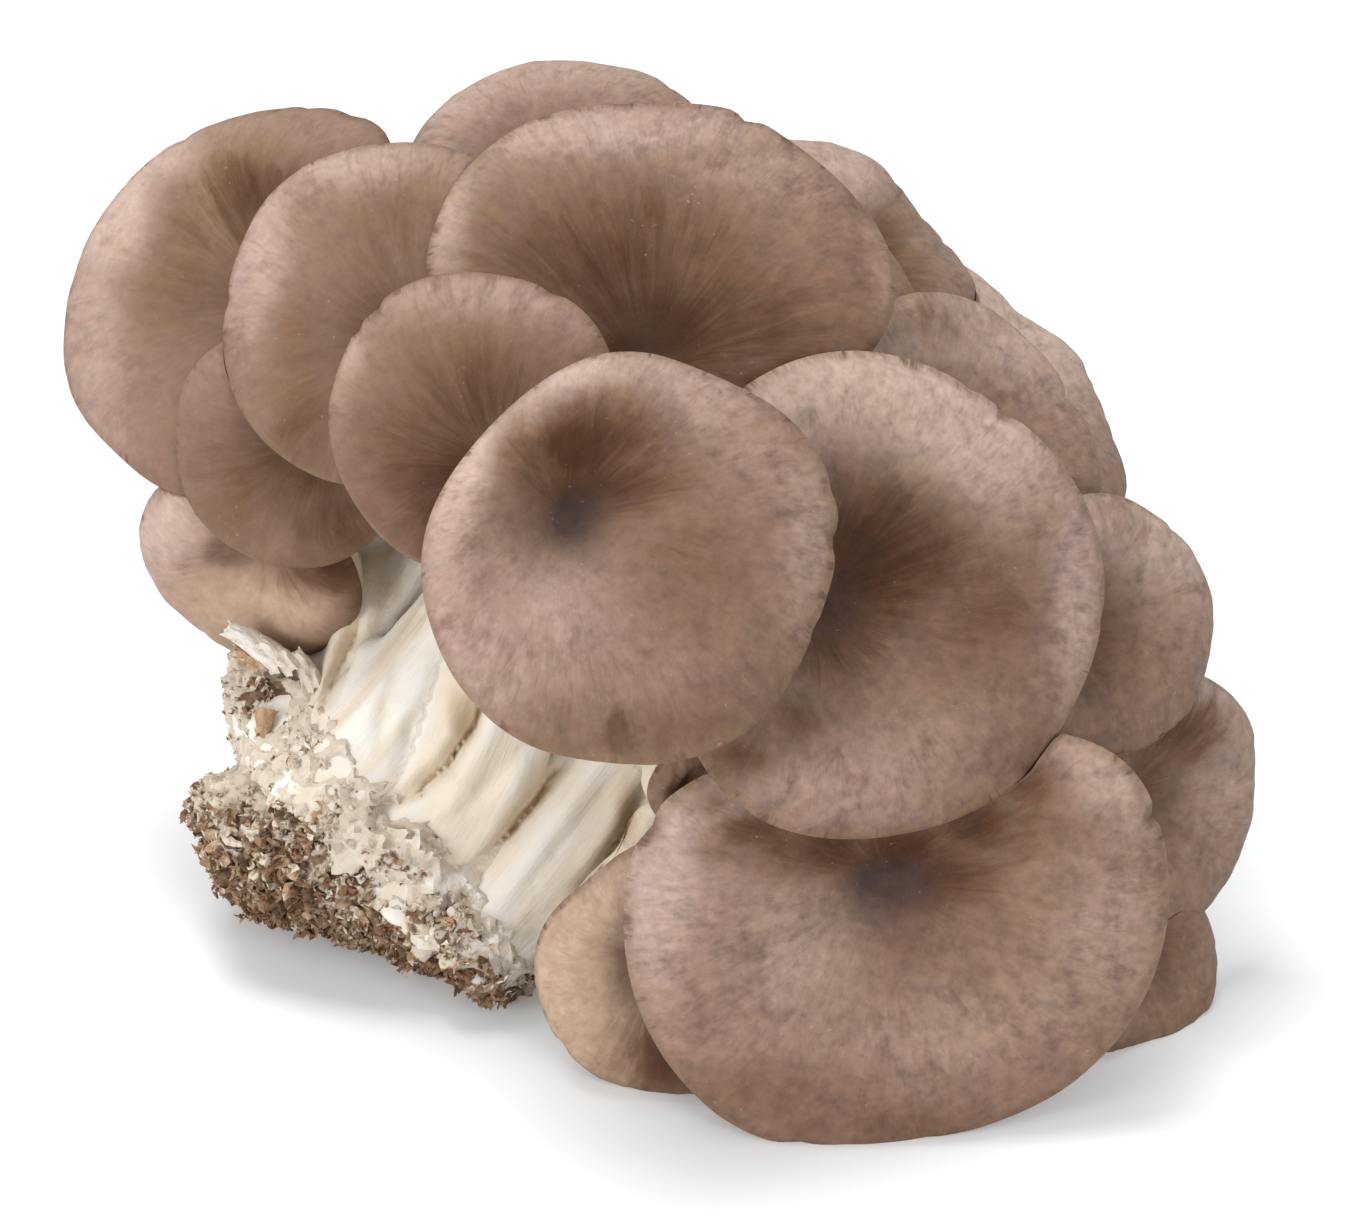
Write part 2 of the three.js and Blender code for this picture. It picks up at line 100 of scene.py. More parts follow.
# at: middle of the cap's shoulder. tip: how far its face tips from +z, and which way. side: the way in its
# own plane from its middle to its stem. half: half its length that way, and half its width. off: from its
# middle to its stem. notch: share of the rim cut in over the stem. deep: dimple, funnel and roll of the rim.
# wave: height and number of the rim's waves. stem: radius of the neck. foot: where its stem leaves the foot,
# along it and up, unless it follows the fan. tan: how far its skin has turned from grey-brown to tan.
# pale: how pale its skin is, most of all at the rim on the side towards the light, where the paleness is a
# painted
# highlight. blue: strength of the blue-grey spot in its dimple.
# dark: how far the dark of its funnel spreads, partly darker skin and partly painted shade.
Mushroom = namedtuple("Mushroom", "name at tip side half off notch deep wave stem foot tan pale blue dark",
                      defaults=(None, 0.0, 0.0, 0.2, 0.4))
MUSHROOMS = [
    Mushroom("front", (-6.5, 10, 46), (8, 45), 143, (33, 35), 12, 0.1, (6, 5, 5), (0.7, 3), 8,
             foot=(9, 13), blue=1.0, dark=0.2, pale=0.8, tan=-0.35),
    Mushroom("front_left", (-34, 32, 25), (18, 165), -70, (25, 25), 8, 0.1, (4, 5, 4), (0.6, 3), 8,
             foot=(-10, 14), dark=0.35, pale=0.4, tan=-0.35),
    Mushroom("front_right", (34, 3, 24), (18, 5), 185, (40, 40), 8, 0.1, (5, 9, 5), (0.8, 3), 8,
             foot=(26, 12), blue=0.75, dark=0.5, pale=0.95),
    Mushroom("front_low", (37, -54.5, 12), (14, -80), 100, (37.6, 45), 8, 0.1, (5, 8, 6), (0.8, 3), 7,
             foot=(31, 2), blue=1.0, dark=0.35, pale=0.85, tan=0.1),
    Mushroom("top_front", (-3, 59, 13), (25, 90), -95, (32, 39), 14, 0.1, (5, 8, 5), (0.8, 3), 6.5,
             dark=0.6, pale=0.45),
    Mushroom("upper_left", (-49, 52, 2), (24, 140), -45, (31, 30), 8, 0.1, (4, 5, 5), (0.8, 3), 6,
             foot=(-20, 8), tan=-0.1, pale=0.38),
    Mushroom("left", (-65, 27, -10), (22, 225), 20, (22, 21), 6, 0.1, (3, 4, 4), (0.6, 3), 5,
             foot=(-27, 4), pale=0.35, tan=-0.15),
    Mushroom("far_left", (-77, 56, -26), (33, 148), -10, (35, 34.5), 8, 0.1, (4, 6, 5), (1.0, 4), 6,
             pale=0.5),
    Mushroom("left_low", (-74, 6.2, -28), (40, 240), 40, (20.5, 20.5), 6, 0.1, (3, 3, 5), (0.6, 3), 5,
             foot=(-32, 0), tan=0.2, pale=0.75, dark=0.15),
    Mushroom("top_under", (11, 53, -7), (24, 75), -105, (28, 31), 12, 0.1, (4, 6, 4), (0.8, 3), 5.5,
             pale=0.3),
    Mushroom("right", (75, -2, -3), (36, 0), 180, (24, 22), 7, 0.1, (3, 5, 4), (0.8, 4), 5, tan=0.1,
             pale=1.1),
    Mushroom("upper_right", (49, 28, -2), (34, 30), 215, (29, 28), 9, 0.15, (3, 4, 4), (0.8, 4), 5.5,
             pale=1.1),
    Mushroom("low_left", (-3, -63.8, -3), (22, -110), 80, (21, 21), 6, 0.0, (3, 3, 5), (0.6, 3), 5.5,
             foot=(33, -6), tan=0.75, pale=0.9),
    Mushroom("top_back", (-20, 81, -24), (45, 97), -90, (25, 26), 8, 0.1, (3, 3, 4), (0.8, 4), 5, pale=0.85),
    Mushroom("top_right", (29.5, 64.5, -26), (45, 50), -130, (24, 24), 7, 0.1, (3, 3, 4), (1.0, 5), 5,
             pale=1.5),
    Mushroom("right_back", (54.3, 36.6, -25), (48, 42), 215, (30, 30), 9, 0.1, (3, 4, 4), (1.0, 6), 5,
             pale=1.3),
    Mushroom("right_low", (85.5, -33.4, -20), (42, -20), 165, (24, 23), 7, 0.12, (3, 4, 4), (0.8, 4), 5,
             pale=1.1),
    Mushroom("foot_right", (81.8, -59.5, -24), (38, -8), 150, (19, 16.5), 5, 0.1, (3, 3, 4), (0.6, 3), 4.5,
             tan=0.2, pale=0.5),
    Mushroom("small_front", (4.5, -30.5, 2), (20, -60), 140, (8, 8), 2, 0.0, (1, 1, 3), (0.3, 3), 3.5,
             foot=(27, 6), pale=0.2, dark=0.5),
    Mushroom("back_low", (50, -18, -79), (105, 50), -120, (21, 24), 6, 0.1, (3, 4, 4), (0.8, 4), 5,
             pale=0.5),
    Mushroom("back_middle", (10, 27, -74), (100, 85), -100, (23, 26), 6, 0.1, (3, 4, 4), (0.8, 4), 5.5,
             pale=0.5),
    Mushroom("back_left", (-50, 38, -75), (95, 110), -70, (21, 23), 6, 0.1, (3, 4, 4), (0.8, 4), 5,
             pale=0.5),
]
PHASE = {m.name: 2.4 * i for i, m in enumerate(MUSHROOMS)}   # sets each mushroom's waves apart from the others'


# ---- What a user would change ----

def length(name, description, default):
    """A length in metres."""
    return FloatProperty(name=name, description=description, default=default, min=0.0,
                         unit="LENGTH", precision=5)


def colour(name, description, default):
    """A linear colour."""
    return FloatVectorProperty(name=name, description=description, default=default, size=3,
                               min=0.0, max=1.0, subtype="COLOR")


class ClusterSizes(bpy.types.PropertyGroup):
    """Sizes of the mushrooms' flesh and of the crust's chips"""
    rim: length("Rim", "Thickness of a cap at its rim", 0.0019)
    flesh: length("Flesh", "Thickness of a cap over its stem", 0.006)
    gill_depth: length("Gill depth", "How far a gill stands out", 0.003)
    neck: length("Neck", "How far the gills run down the stem", 0.011)
    flare: length("Flare", "How quickly the gills spread out from the stem", 0.005)
    gill_pitch: length("Gill pitch", "From gill to gill at the rim of a cap", 0.00135)
    stem_grain: length("Stem grain", "Size of the finest form on the stems", 0.00105)
    crust_grain: length("Crust grain", "Size of the finest form on the crust", 0.0012)
    chip_long: length("Chip length", "Length of a sawdust chip", 0.0042)
    chip_wide: length("Chip width", "Width of a sawdust chip", 0.0016)
    chips: IntProperty(name="Chips", description="Sawdust chips on the crust", default=5400, min=0)


class ClusterColours(bpy.types.PropertyGroup):
    """Colours of the skin, the gills, the stems and the crust"""
    # The funnel and deep skin colours are partly the funnel's darker skin and partly painted shade, under the
    # rims of caps in front and on the side of each cap away from the light. The pale skin is partly a painted
    # highlight on the rims towards the light, and the tan skin is also painted on the side away from the light
    # as painted shade.
    funnel: colour("Funnel", "Skin in a cap's funnel", (0.069, 0.029, 0.0135))
    skin: colour("Skin", "Skin of a cap", (0.238, 0.147, 0.109))
    skin_deep_and_shade: colour("Deep skin", "Skin on the way into the funnel", (0.147, 0.080, 0.047))
    skin_pale: colour("Pale skin", "Skin of a cap near its rim", (0.565, 0.425, 0.36))
    skin_warm: colour("Warm skin", "Browner patches of the skin", (0.205, 0.124, 0.070))
    skin_tan: colour("Tan skin", "Skin of a cap that grew out of the light", (0.50, 0.345, 0.245))
    skin_mauve: colour("Mauve skin", "Tint of the skin's pinker patches", (0.54, 0.465, 0.55))
    skin_olive: colour("Olive skin", "Tint of the skin's yellower patches", (0.51, 0.52, 0.455))
    dimple: colour("Dimple", "Blue-grey spot in a cap's dimple", (0.058, 0.042, 0.043))
    blot: colour("Blot", "Dark nicks and blots of the skin", (0.125, 0.068, 0.042))
    gill: colour("Gill", "Edge of a gill", (0.78, 0.68, 0.54))
    # Painted shade: the flesh between the gills is painted darker where the valleys lie.
    gill_valley_shade: colour("Between gills", "Flesh between two gills", (0.46, 0.35, 0.25))
    stem: colour("Stem", "Flesh of the stems", (0.83, 0.785, 0.725))
    # The warm stem colour is yellowed flesh and also painted shade in and beside the clefts; the deep stem
    # colour is painted shade at the bottom of the clefts and in the folds' hollows.
    stem_warm_and_cleft_shade: colour("Warm stem", "Yellowed flesh along the stems", (0.73, 0.60, 0.425))
    stem_cleft_shade: colour("Deep stem", "Flesh at the bottom of the clefts", (0.36, 0.22, 0.11))
    stain: colour("Stain", "Brown stains on the stems", (0.45, 0.28, 0.15))
    chip_dark: colour("Dark chip", "Darkest sawdust", (0.165, 0.083, 0.043))
    chip_light: colour("Light chip", "Lightest sawdust", (0.55, 0.35, 0.21))
    # Painted shade: sawdust in the crust's pits, in the knob's hole and where the crust faces down.
    chip_hollow_shade: colour("Deep chip", "Sawdust in the crust's pits", (0.040, 0.019, 0.010))
    mycelium: colour("Mycelium", "White threads on the crust", (0.65, 0.565, 0.465))
    table: colour("Table", "White table top", (0.91, 0.93, 0.95))
    table_pale: colour("Pale table", "Paler patches of the table top", (0.93, 0.95, 0.97))
    table_glow: colour("Table glow", "Light from below the table top", (0.97, 0.99, 1.0))


def sizes():
    return bpy.context.scene.cluster_sizes


def colours():
    return bpy.context.scene.cluster_colours


# ---- From the growth frame to the table ----

def placed(points):
    """Growth-frame points in millimetres as points on the table in metres."""
    x, y, z = np.asarray(points, float).T
    across = x + CENTRE[0]
    back = y * math.cos(LEAN) - z * math.sin(LEAN) + CENTRE[1]
    up = y * math.sin(LEAN) + z * math.cos(LEAN) + HEIGHT
    return np.column_stack((across, back, up)) * MM


def unplaced(points):
    """Points on the table in metres as growth-frame points in millimetres."""
    x, y, z = (np.asarray(points, float) / MM).T
    y, z = y - CENTRE[1], z - HEIGHT
    return np.column_stack((x - CENTRE[0], y * math.cos(LEAN) + z * math.sin(LEAN),
                            -y * math.sin(LEAN) + z * math.cos(LEAN)))


def by_foot(along, out, up):
    """Points beside the foot's middle: so far along it, outward and up."""
    along, out, up = (np.atleast_1d(np.asarray(a, float)) for a in (along, out, up))
    return FOOT_AT + along[:, None] * FOOT_LONG + out[:, None] * FOOT_OUT + up[:, None] * np.array([0, 0, 1.0])


def beside_foot(points):
    """How far growth-frame points lie along the foot, outward and up, from its middle."""
    beside = points - FOOT_AT
    return beside @ FOOT_LONG, beside @ FOOT_OUT, beside[:, 2]


def smooth(low, high, value):
    """0 below low, 1 above high, and smooth between them."""
    t = np.clip((np.asarray(value, float) - low) / (high - low), 0, 1)
    return t * t * (3 - 2 * t)


def hill(x, y, at, size):
    """1 at the place, and falling away over the size, in two directions."""
    return np.exp(-(((x - at[0]) / size[0]) ** 2 + ((y - at[1]) / size[1]) ** 2))


def grain(points, octaves=3):
    """Soft noise of about -1 to 1 at each point, whose finest octave is half, a quarter... of 1 across."""
    return np.array([noise.fractal(Vector(p), 0.6, 2.0, octaves) for p in points])


# ---- One mushroom's surfaces ----

def wrapped(angle):
    """The same angle, from -pi to pi."""
    return np.arctan2(np.sin(angle), np.cos(angle))


def cap_turn(m):
    """Matrix that turns a cap's own frame into the growth frame."""
    toward = math.radians(m.tip[1])
    axis = Vector((-math.sin(toward), math.cos(toward), 0))
    return np.array(Matrix.Rotation(math.radians(m.tip[0]), 3, axis))


NOTCH_WIDE = 0.55             # radians over which the notch over the stem fades
THREE_LOBES, FIVE_LOBES = 0.018, 0.012       # how far the rim's lobes stand out, as shares of its distance
DIMPLE_WIDE = 0.3             # share of the way to the rim over which the dimple fades
ROLL_FROM = 0.6               # share of the way to the rim from which the face rolls down
THINNING = 1.2                # how quickly the flesh thins towards the rim: 1 evenly
WEB = 0.7                     # flesh that holds the gills together at their roots
# Where a cap's rim stands out from an even one, or in from it: the angle in degrees, how far round in radians,
# and the share of its distance.
RIMS = {
    "front": [(66, 0.42, -0.075), (135, 0.4, 0.035), (5, 0.4, 0.02)],
    "front_left": [(135, 0.45, 0.035)],
    "front_right": [(0, 0.5, 0.03)],
    "front_low": [(150, 0.36, 0.10), (40, 0.36, 0.12)],
    "far_left": [(43, 0.3, 0.08), (138, 0.38, -0.045), (255, 0.35, 0.05)],
    "top_front": [(75, 0.4, 0.03)],
    "low_left": [(84, 0.5, 0.26)],
    "top_right": [(-5, 0.4, 0.12), (50, 0.3, -0.02)],
    "right_back": [(-10, 0.35, 0.08), (52, 0.25, -0.04), (93, 0.3, 0.08)],
}


def rim_at(m, angle):
    """Distance of the rim from the cap's middle: an ellipse, notched over the stem, with shallow lobes."""
    turn = angle - math.radians(m.side)
    ellipse = 1 / np.hypot(np.cos(turn) / m.half[0], np.sin(turn) / m.half[1])
    notch = 1 - m.notch * np.exp(-((wrapped(turn) / NOTCH_WIDE) ** 2))
    phase = PHASE[m.name]
    lobes = 1 + THREE_LOBES * np.sin(3 * turn + phase) + FIVE_LOBES * np.sin(5 * turn + 2 * phase)
    for at, wide, share in RIMS.get(m.name, ()):
        lobes = lobes + share * np.exp(-((wrapped(angle - math.radians(at)) / wide) ** 2))
    return ellipse * notch * lobes


def face_height(m, s, angle):
    """Height of a cap's upper face over its shoulder, at a share s of the way to the rim."""
    dimple, funnel, roll = m.deep
    high, count = m.wave
    return (-dimple * np.exp(-((s / DIMPLE_WIDE) ** 2)) - funnel * (1 - s) ** 2
            - roll * np.maximum(0, (s - ROLL_FROM) / (1 - ROLL_FROM)) ** 2
            + high * s * s * np.sin(count * angle + PHASE[m.name]))


def flesh_at(s):
    """Thickness of a cap at a share s of the way to the rim."""
    rim, flesh = sizes().rim / MM, sizes().flesh / MM
    return rim + (flesh - rim) * np.maximum(0, 1 - s) ** THINNING


def neck_end(m):
    """Height, in the cap's own frame, at which the gills' neck meets the stem."""
    return float(face_height(m, 0.0, 0.0)) - (sizes().flesh + sizes().neck) / MM


def middle_of(m):
    """The growth-frame point over the stem, on the cap's shoulder."""
    return head_points(m, np.zeros(1), np.zeros(1), 0.0)


# Where a cap is pressed down by the rim of the one in front: whose cap, where in x and y, over what radius,
# and how deep.
Dent = namedtuple("Dent", "cap at radius deep")
DENTS = [
    Dent("front_low", (54.0, -25.0), 15.0, 4.5),
    Dent("top_front", (15.0, 38.0), 14.0, 3.0),
]


def head_points(m, s, angle, height, room=0.0):
    """Growth-frame points over the share s of the way to the rim, at a height in the cap's own frame."""
    rim = (rim_at(m, angle) + room) * s
    to_stem = math.radians(m.side)
    stem = m.off * (1 - s)
    local = np.column_stack((rim * np.cos(angle) + stem * math.cos(to_stem),
                             rim * np.sin(angle) + stem * math.sin(to_stem),
                             np.broadcast_to(height, np.shape(rim))))
    points = local @ cap_turn(m).T + np.array(m.at)
    for dent in DENTS:
        if dent.cap == m.name:
            off = np.linalg.norm(points[:, :2] - dent.at, axis=1) / dent.radius
            points[:, 2] -= dent.deep * np.exp(-(off ** 2))
    return points


def neck_points(m, angle, height, radius):
    """Growth-frame points round the stem's axis, at a height in the cap's own frame."""
    to_stem = math.radians(m.side)
    local = np.column_stack((m.off * math.cos(to_stem) + radius * np.cos(angle),
                             m.off * math.sin(to_stem) + radius * np.sin(angle),
                             np.broadcast_to(height, np.shape(angle))))
    return local @ cap_turn(m).T + np.array(m.at)


def under_share(m, t, angle):
    """The share of the way to the rim, from t, the share of the way from the neck's side to the rim."""
    reach = np.linalg.norm(head_points(m, 1.0, angle, 0.0) - head_points(m, 0.0, angle, 0.0), axis=1)
    return t + (1 - t) * m.stem / reach, reach


def under_points(m, t, angle, depth, room=0.0):
    """Growth-frame points under a cap, at a depth below the roots of its gills."""
    s, reach = under_share(m, t, angle)
    run = (sizes().neck / MM - 2) * np.exp(-t * (reach - m.stem) / (sizes().flare / MM))
    height = face_height(m, s, angle) - flesh_at(s) - GAP - WEB - run - depth
    return head_points(m, s, angle, height, room)


# ---- Meshes ----

def deselect_all():
    """Leaves edit mode, and selects nothing."""
    if bpy.context.mode != "OBJECT":
        bpy.ops.object.mode_set(mode="OBJECT")
    bpy.ops.object.select_all(action="DESELECT")


def only(obj):
    """Makes obj the one selected object."""
    deselect_all()
    obj.select_set(True)
    bpy.context.view_layer.objects.active = obj
    return obj


def read(items, key, wide=3):
    """One row of numbers for each of a mesh's vertices or faces."""
    flat = np.empty(len(items) * wide)
    items.foreach_get(key, flat)
    return flat.reshape(-1, wide)


def points_of(mesh):
    return read(mesh.vertices, "co")


def normals_of(mesh):
    return read(mesh.vertices, "normal")


def made(add, **settings):
    """The object that one of bpy's add operators makes, with nothing else selected."""
    deselect_all()
    add(**settings)
    return bpy.context.object


def ball(segments, rings, radius=1):
    """A sphere round the origin, as a start."""
    return made(bpy.ops.mesh.primitive_uv_sphere_add, segments=segments, ring_count=rings, radius=radius)


def polar(obj):
    """Distance from the Z axis, angle round it and height of each of an object's points."""
    x, y, z = points_of(obj.data).T
    return np.hypot(x, y), np.arctan2(y, x), z


def unit_long(vectors):
    """The vectors, each 1 long."""
    return vectors / np.linalg.norm(vectors, axis=1)[:, None]


def set_points(mesh, points):
    mesh.vertices.foreach_set("co", np.asarray(points, float).ravel())
    mesh.update()


def set_vectors(mesh, name, values):
    """Gives each vertex a vector that the materials can read."""
    layer = mesh.attributes.get(name) or mesh.attributes.new(name, "FLOAT_VECTOR", "POINT")
    layer.data.foreach_set("vector", np.asarray(values, np.float32).ravel())


def spun(name, profile, steps):
    """A closed skin: a line of (distance, height) points that starts and ends on the Z axis, spun round it."""
    obj = made(bpy.ops.mesh.primitive_plane_add, size=0.01)
    obj.name = name
    bpy.ops.object.mode_set(mode="EDIT")
    bpy.ops.mesh.select_all(action="SELECT")
    bpy.ops.mesh.merge(type="CENTER")
    bpy.ops.transform.translate(value=(profile[0][0], 0, profile[0][1]))
    for (near, low), (far, high) in zip(profile, profile[1:]):
        bpy.ops.mesh.extrude_region_move(TRANSFORM_OT_translate={"value": (far - near, 0, high - low)})
    bpy.ops.mesh.select_all(action="SELECT")
    bpy.ops.mesh.spin(steps=steps, angle=2 * math.pi, center=(0, 0, 0), axis=(0, 0, 1))
    bpy.ops.mesh.select_all(action="SELECT")
    bpy.ops.mesh.remove_doubles(threshold=1e-5)
    bpy.ops.mesh.normals_make_consistent(inside=False)
    bpy.ops.object.mode_set(mode="OBJECT")
    return obj


def copied(unit, name):
    """A copy of a modelled shape, with its own mesh."""
    obj = unit.copy()
    obj.data = unit.data.copy()
    obj.name = name
    obj.data.name = name
    bpy.context.scene.collection.objects.link(obj)
    return obj


def discard(*objs):
    """Deletes objects and their meshes."""
    for obj in objs:
        mesh = obj.data
        bpy.data.objects.remove(obj)
        bpy.data.meshes.remove(mesh)


def box_of(obj):
    points = points_of(obj.data)
    return points.min(0), points.max(0)


def touching(obj, other):
    """Whether two objects' boxes meet."""
    (low, high), (other_low, other_high) = box_of(obj), box_of(other)
    return bool(np.all(low < other_high) and np.all(other_low < high))


def cut(obj, cutters):
    """Takes the cutters that reach obj out of it."""
    only(obj)
    for cutter in cutters:
        if not touching(obj, cutter):
            continue
        knife = obj.modifiers.new("cut", "BOOLEAN")
        knife.operation = "DIFFERENCE"
        knife.solver = "MANIFOLD"
        knife.object = cutter
        bpy.ops.object.modifier_apply(modifier="cut")
    if not obj.data.vertices:
        raise RuntimeError(f"cutting {obj.name} left nothing of it")


EASED = 1.5                   # millimetres over which points are eased in under the box


def kept_in_box(points):
    """Points eased in under the plain solid's box, and pressed flat onto the table."""
    points = np.array(points)
    ease = EASED * MM
    for axis in range(3):
        for way, limit in ((-1, CAD_BOX[0][axis]), (1, CAD_BOX[1][axis])):
            if (axis, way) == (2, -1):
                continue
            past = way * (points[:, axis] - limit) + ease
            eased = limit - way * ease * np.exp(-np.maximum(past, 0) / ease)
            points[:, axis] = np.where(past > 0, eased, points[:, axis])
    points[:, 2] = np.maximum(points[:, 2], 0)
    return points


def keep_largest(obj):
    """Drops the loose scraps of a mesh."""
    only(obj)
    bpy.ops.mesh.separate(type="LOOSE")
    bodies = sorted(bpy.context.selected_objects, key=lambda o: -len(o.data.vertices))
    name = obj.name
    discard(*bodies[1:])
    bodies[0].name = name
    return bodies[0]


def finish_piece(obj, node, material, angle=40):
    """Finishes a piece: its material, its shading, its body, and the plain solid that it stands for."""
    only(obj)
    obj.data.materials.clear()
    obj.data.materials.append(material)
    obj.data.polygons.foreach_set("material_index", np.zeros(len(obj.data.polygons), int))
    bpy.ops.object.shade_smooth_by_angle(angle=math.radians(angle))
    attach(obj, "root")
    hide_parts(node)
    return obj


# ---- Materials ----

class Nodes:
    """Short calls for the nodes of one material."""

    def __init__(self, name):
        self.material = bpy.data.materials.new(name)
        self.material.use_nodes = True
        self.tree = self.material.node_tree
        self.shader = self.tree.nodes["Principled BSDF"]

    def add(self, kind, **settings):
        node = self.tree.nodes.new(kind)
        for key, value in settings.items():
            setattr(node, key, value)
        return node

    def feed(self, socket, value):
        """Links an output to a socket, or sets its value."""
        if isinstance(value, bpy.types.NodeSocket):
            self.tree.links.new(value, socket)
        else:
            socket.default_value = (*value, 1) if socket.type == "RGBA" else value

    def attribute(self, name):
        return self.add("ShaderNodeAttribute", attribute_name=name).outputs["Vector"]

    def parts(self, vector):
        node = self.add("ShaderNodeSeparateXYZ")
        self.feed(node.inputs[0], vector)
        return node.outputs

    def here(self):
        return self.add("ShaderNodeTexCoord").outputs["Object"]

    def noise(self, vector, scale, detail=4, rough=0.6, warp=0.0):
        """Noise of that scale, or of one scale for each of the vector's three parts."""
        if isinstance(scale, tuple):
            node = self.add("ShaderNodeMapping")
            self.feed(node.inputs["Vector"], vector)
            self.feed(node.inputs["Scale"], scale)
            vector, scale = node.outputs[0], 1.0
        node = self.add("ShaderNodeTexNoise")
        for key, value in (("Vector", vector), ("Scale", scale), ("Detail", detail), ("Roughness", rough),
                           ("Distortion", warp)):
            self.feed(node.inputs[key], value)
        return node.outputs["Fac"]

    def math(self, operation, a, b, clamp=False):
        node = self.add("ShaderNodeMath", operation=operation, use_clamp=clamp)
        self.feed(node.inputs[0], a)
        self.feed(node.inputs[1], b)
        return node.outputs[0]

    def plus(self, first, *others):
        for value in others:
            first = self.math("ADD", first, value)
        return first

    def times(self, a, b, clamp=False):
        return self.math("MULTIPLY", a, b, clamp)

    def about(self, noise, much):
        """Noise as swings of about that much to either side of 0."""
        return self.times(self.math("SUBTRACT", noise, 0.5), much)

    def span(self, value, low, high, to_low=0.0, to_high=1.0):
        """Maps low..high to to_low..to_high, smoothly and clamped."""
        node = self.add("ShaderNodeMapRange", interpolation_type="SMOOTHSTEP")
        for key, number in (("Value", value), ("From Min", low), ("From Max", high), ("To Min", to_low),
                            ("To Max", to_high)):
            self.feed(node.inputs[key], number)
        return node.outputs[0]

    def mix(self, share, a, b, blend="MIX"):
        """The colour a, or b where share is 1."""
        node = self.add("ShaderNodeMix", data_type="RGBA", blend_type=blend, clamp_factor=True)
        self.feed(node.inputs["Factor"], share)
        self.feed(node.inputs[6], a)
        self.feed(node.inputs[7], b)
        return node.outputs[2]

    def mixed(self, share, a, b):
        """The number a, or b where share is 1."""
        node = self.add("ShaderNodeMix", data_type="FLOAT", clamp_factor=True)
        for socket, value in zip(node.inputs[0:1] + node.inputs[2:4], (share, a, b)):
            self.feed(socket, value)
        return node.outputs[0]

    def relief(self, height, distance, strength):
        """Bumps the surface by the height, over a distance in metres."""
        node = self.add("ShaderNodeBump")
        for key, value in (("Strength", strength), ("Distance", distance), ("Height", height)):
            self.feed(node.inputs[key], value)
        self.feed(self.shader.inputs["Normal"], node.outputs[0])

    def finish(self, colour, roughness, gloss):
        """The material, with its colour, its roughness and how much it shines."""
        self.feed(self.shader.inputs["Base Color"], colour)
        self.feed(self.shader.inputs["Roughness"], roughness)
        self.feed(self.shader.inputs["Specular IOR Level"], gloss)
        return self.material


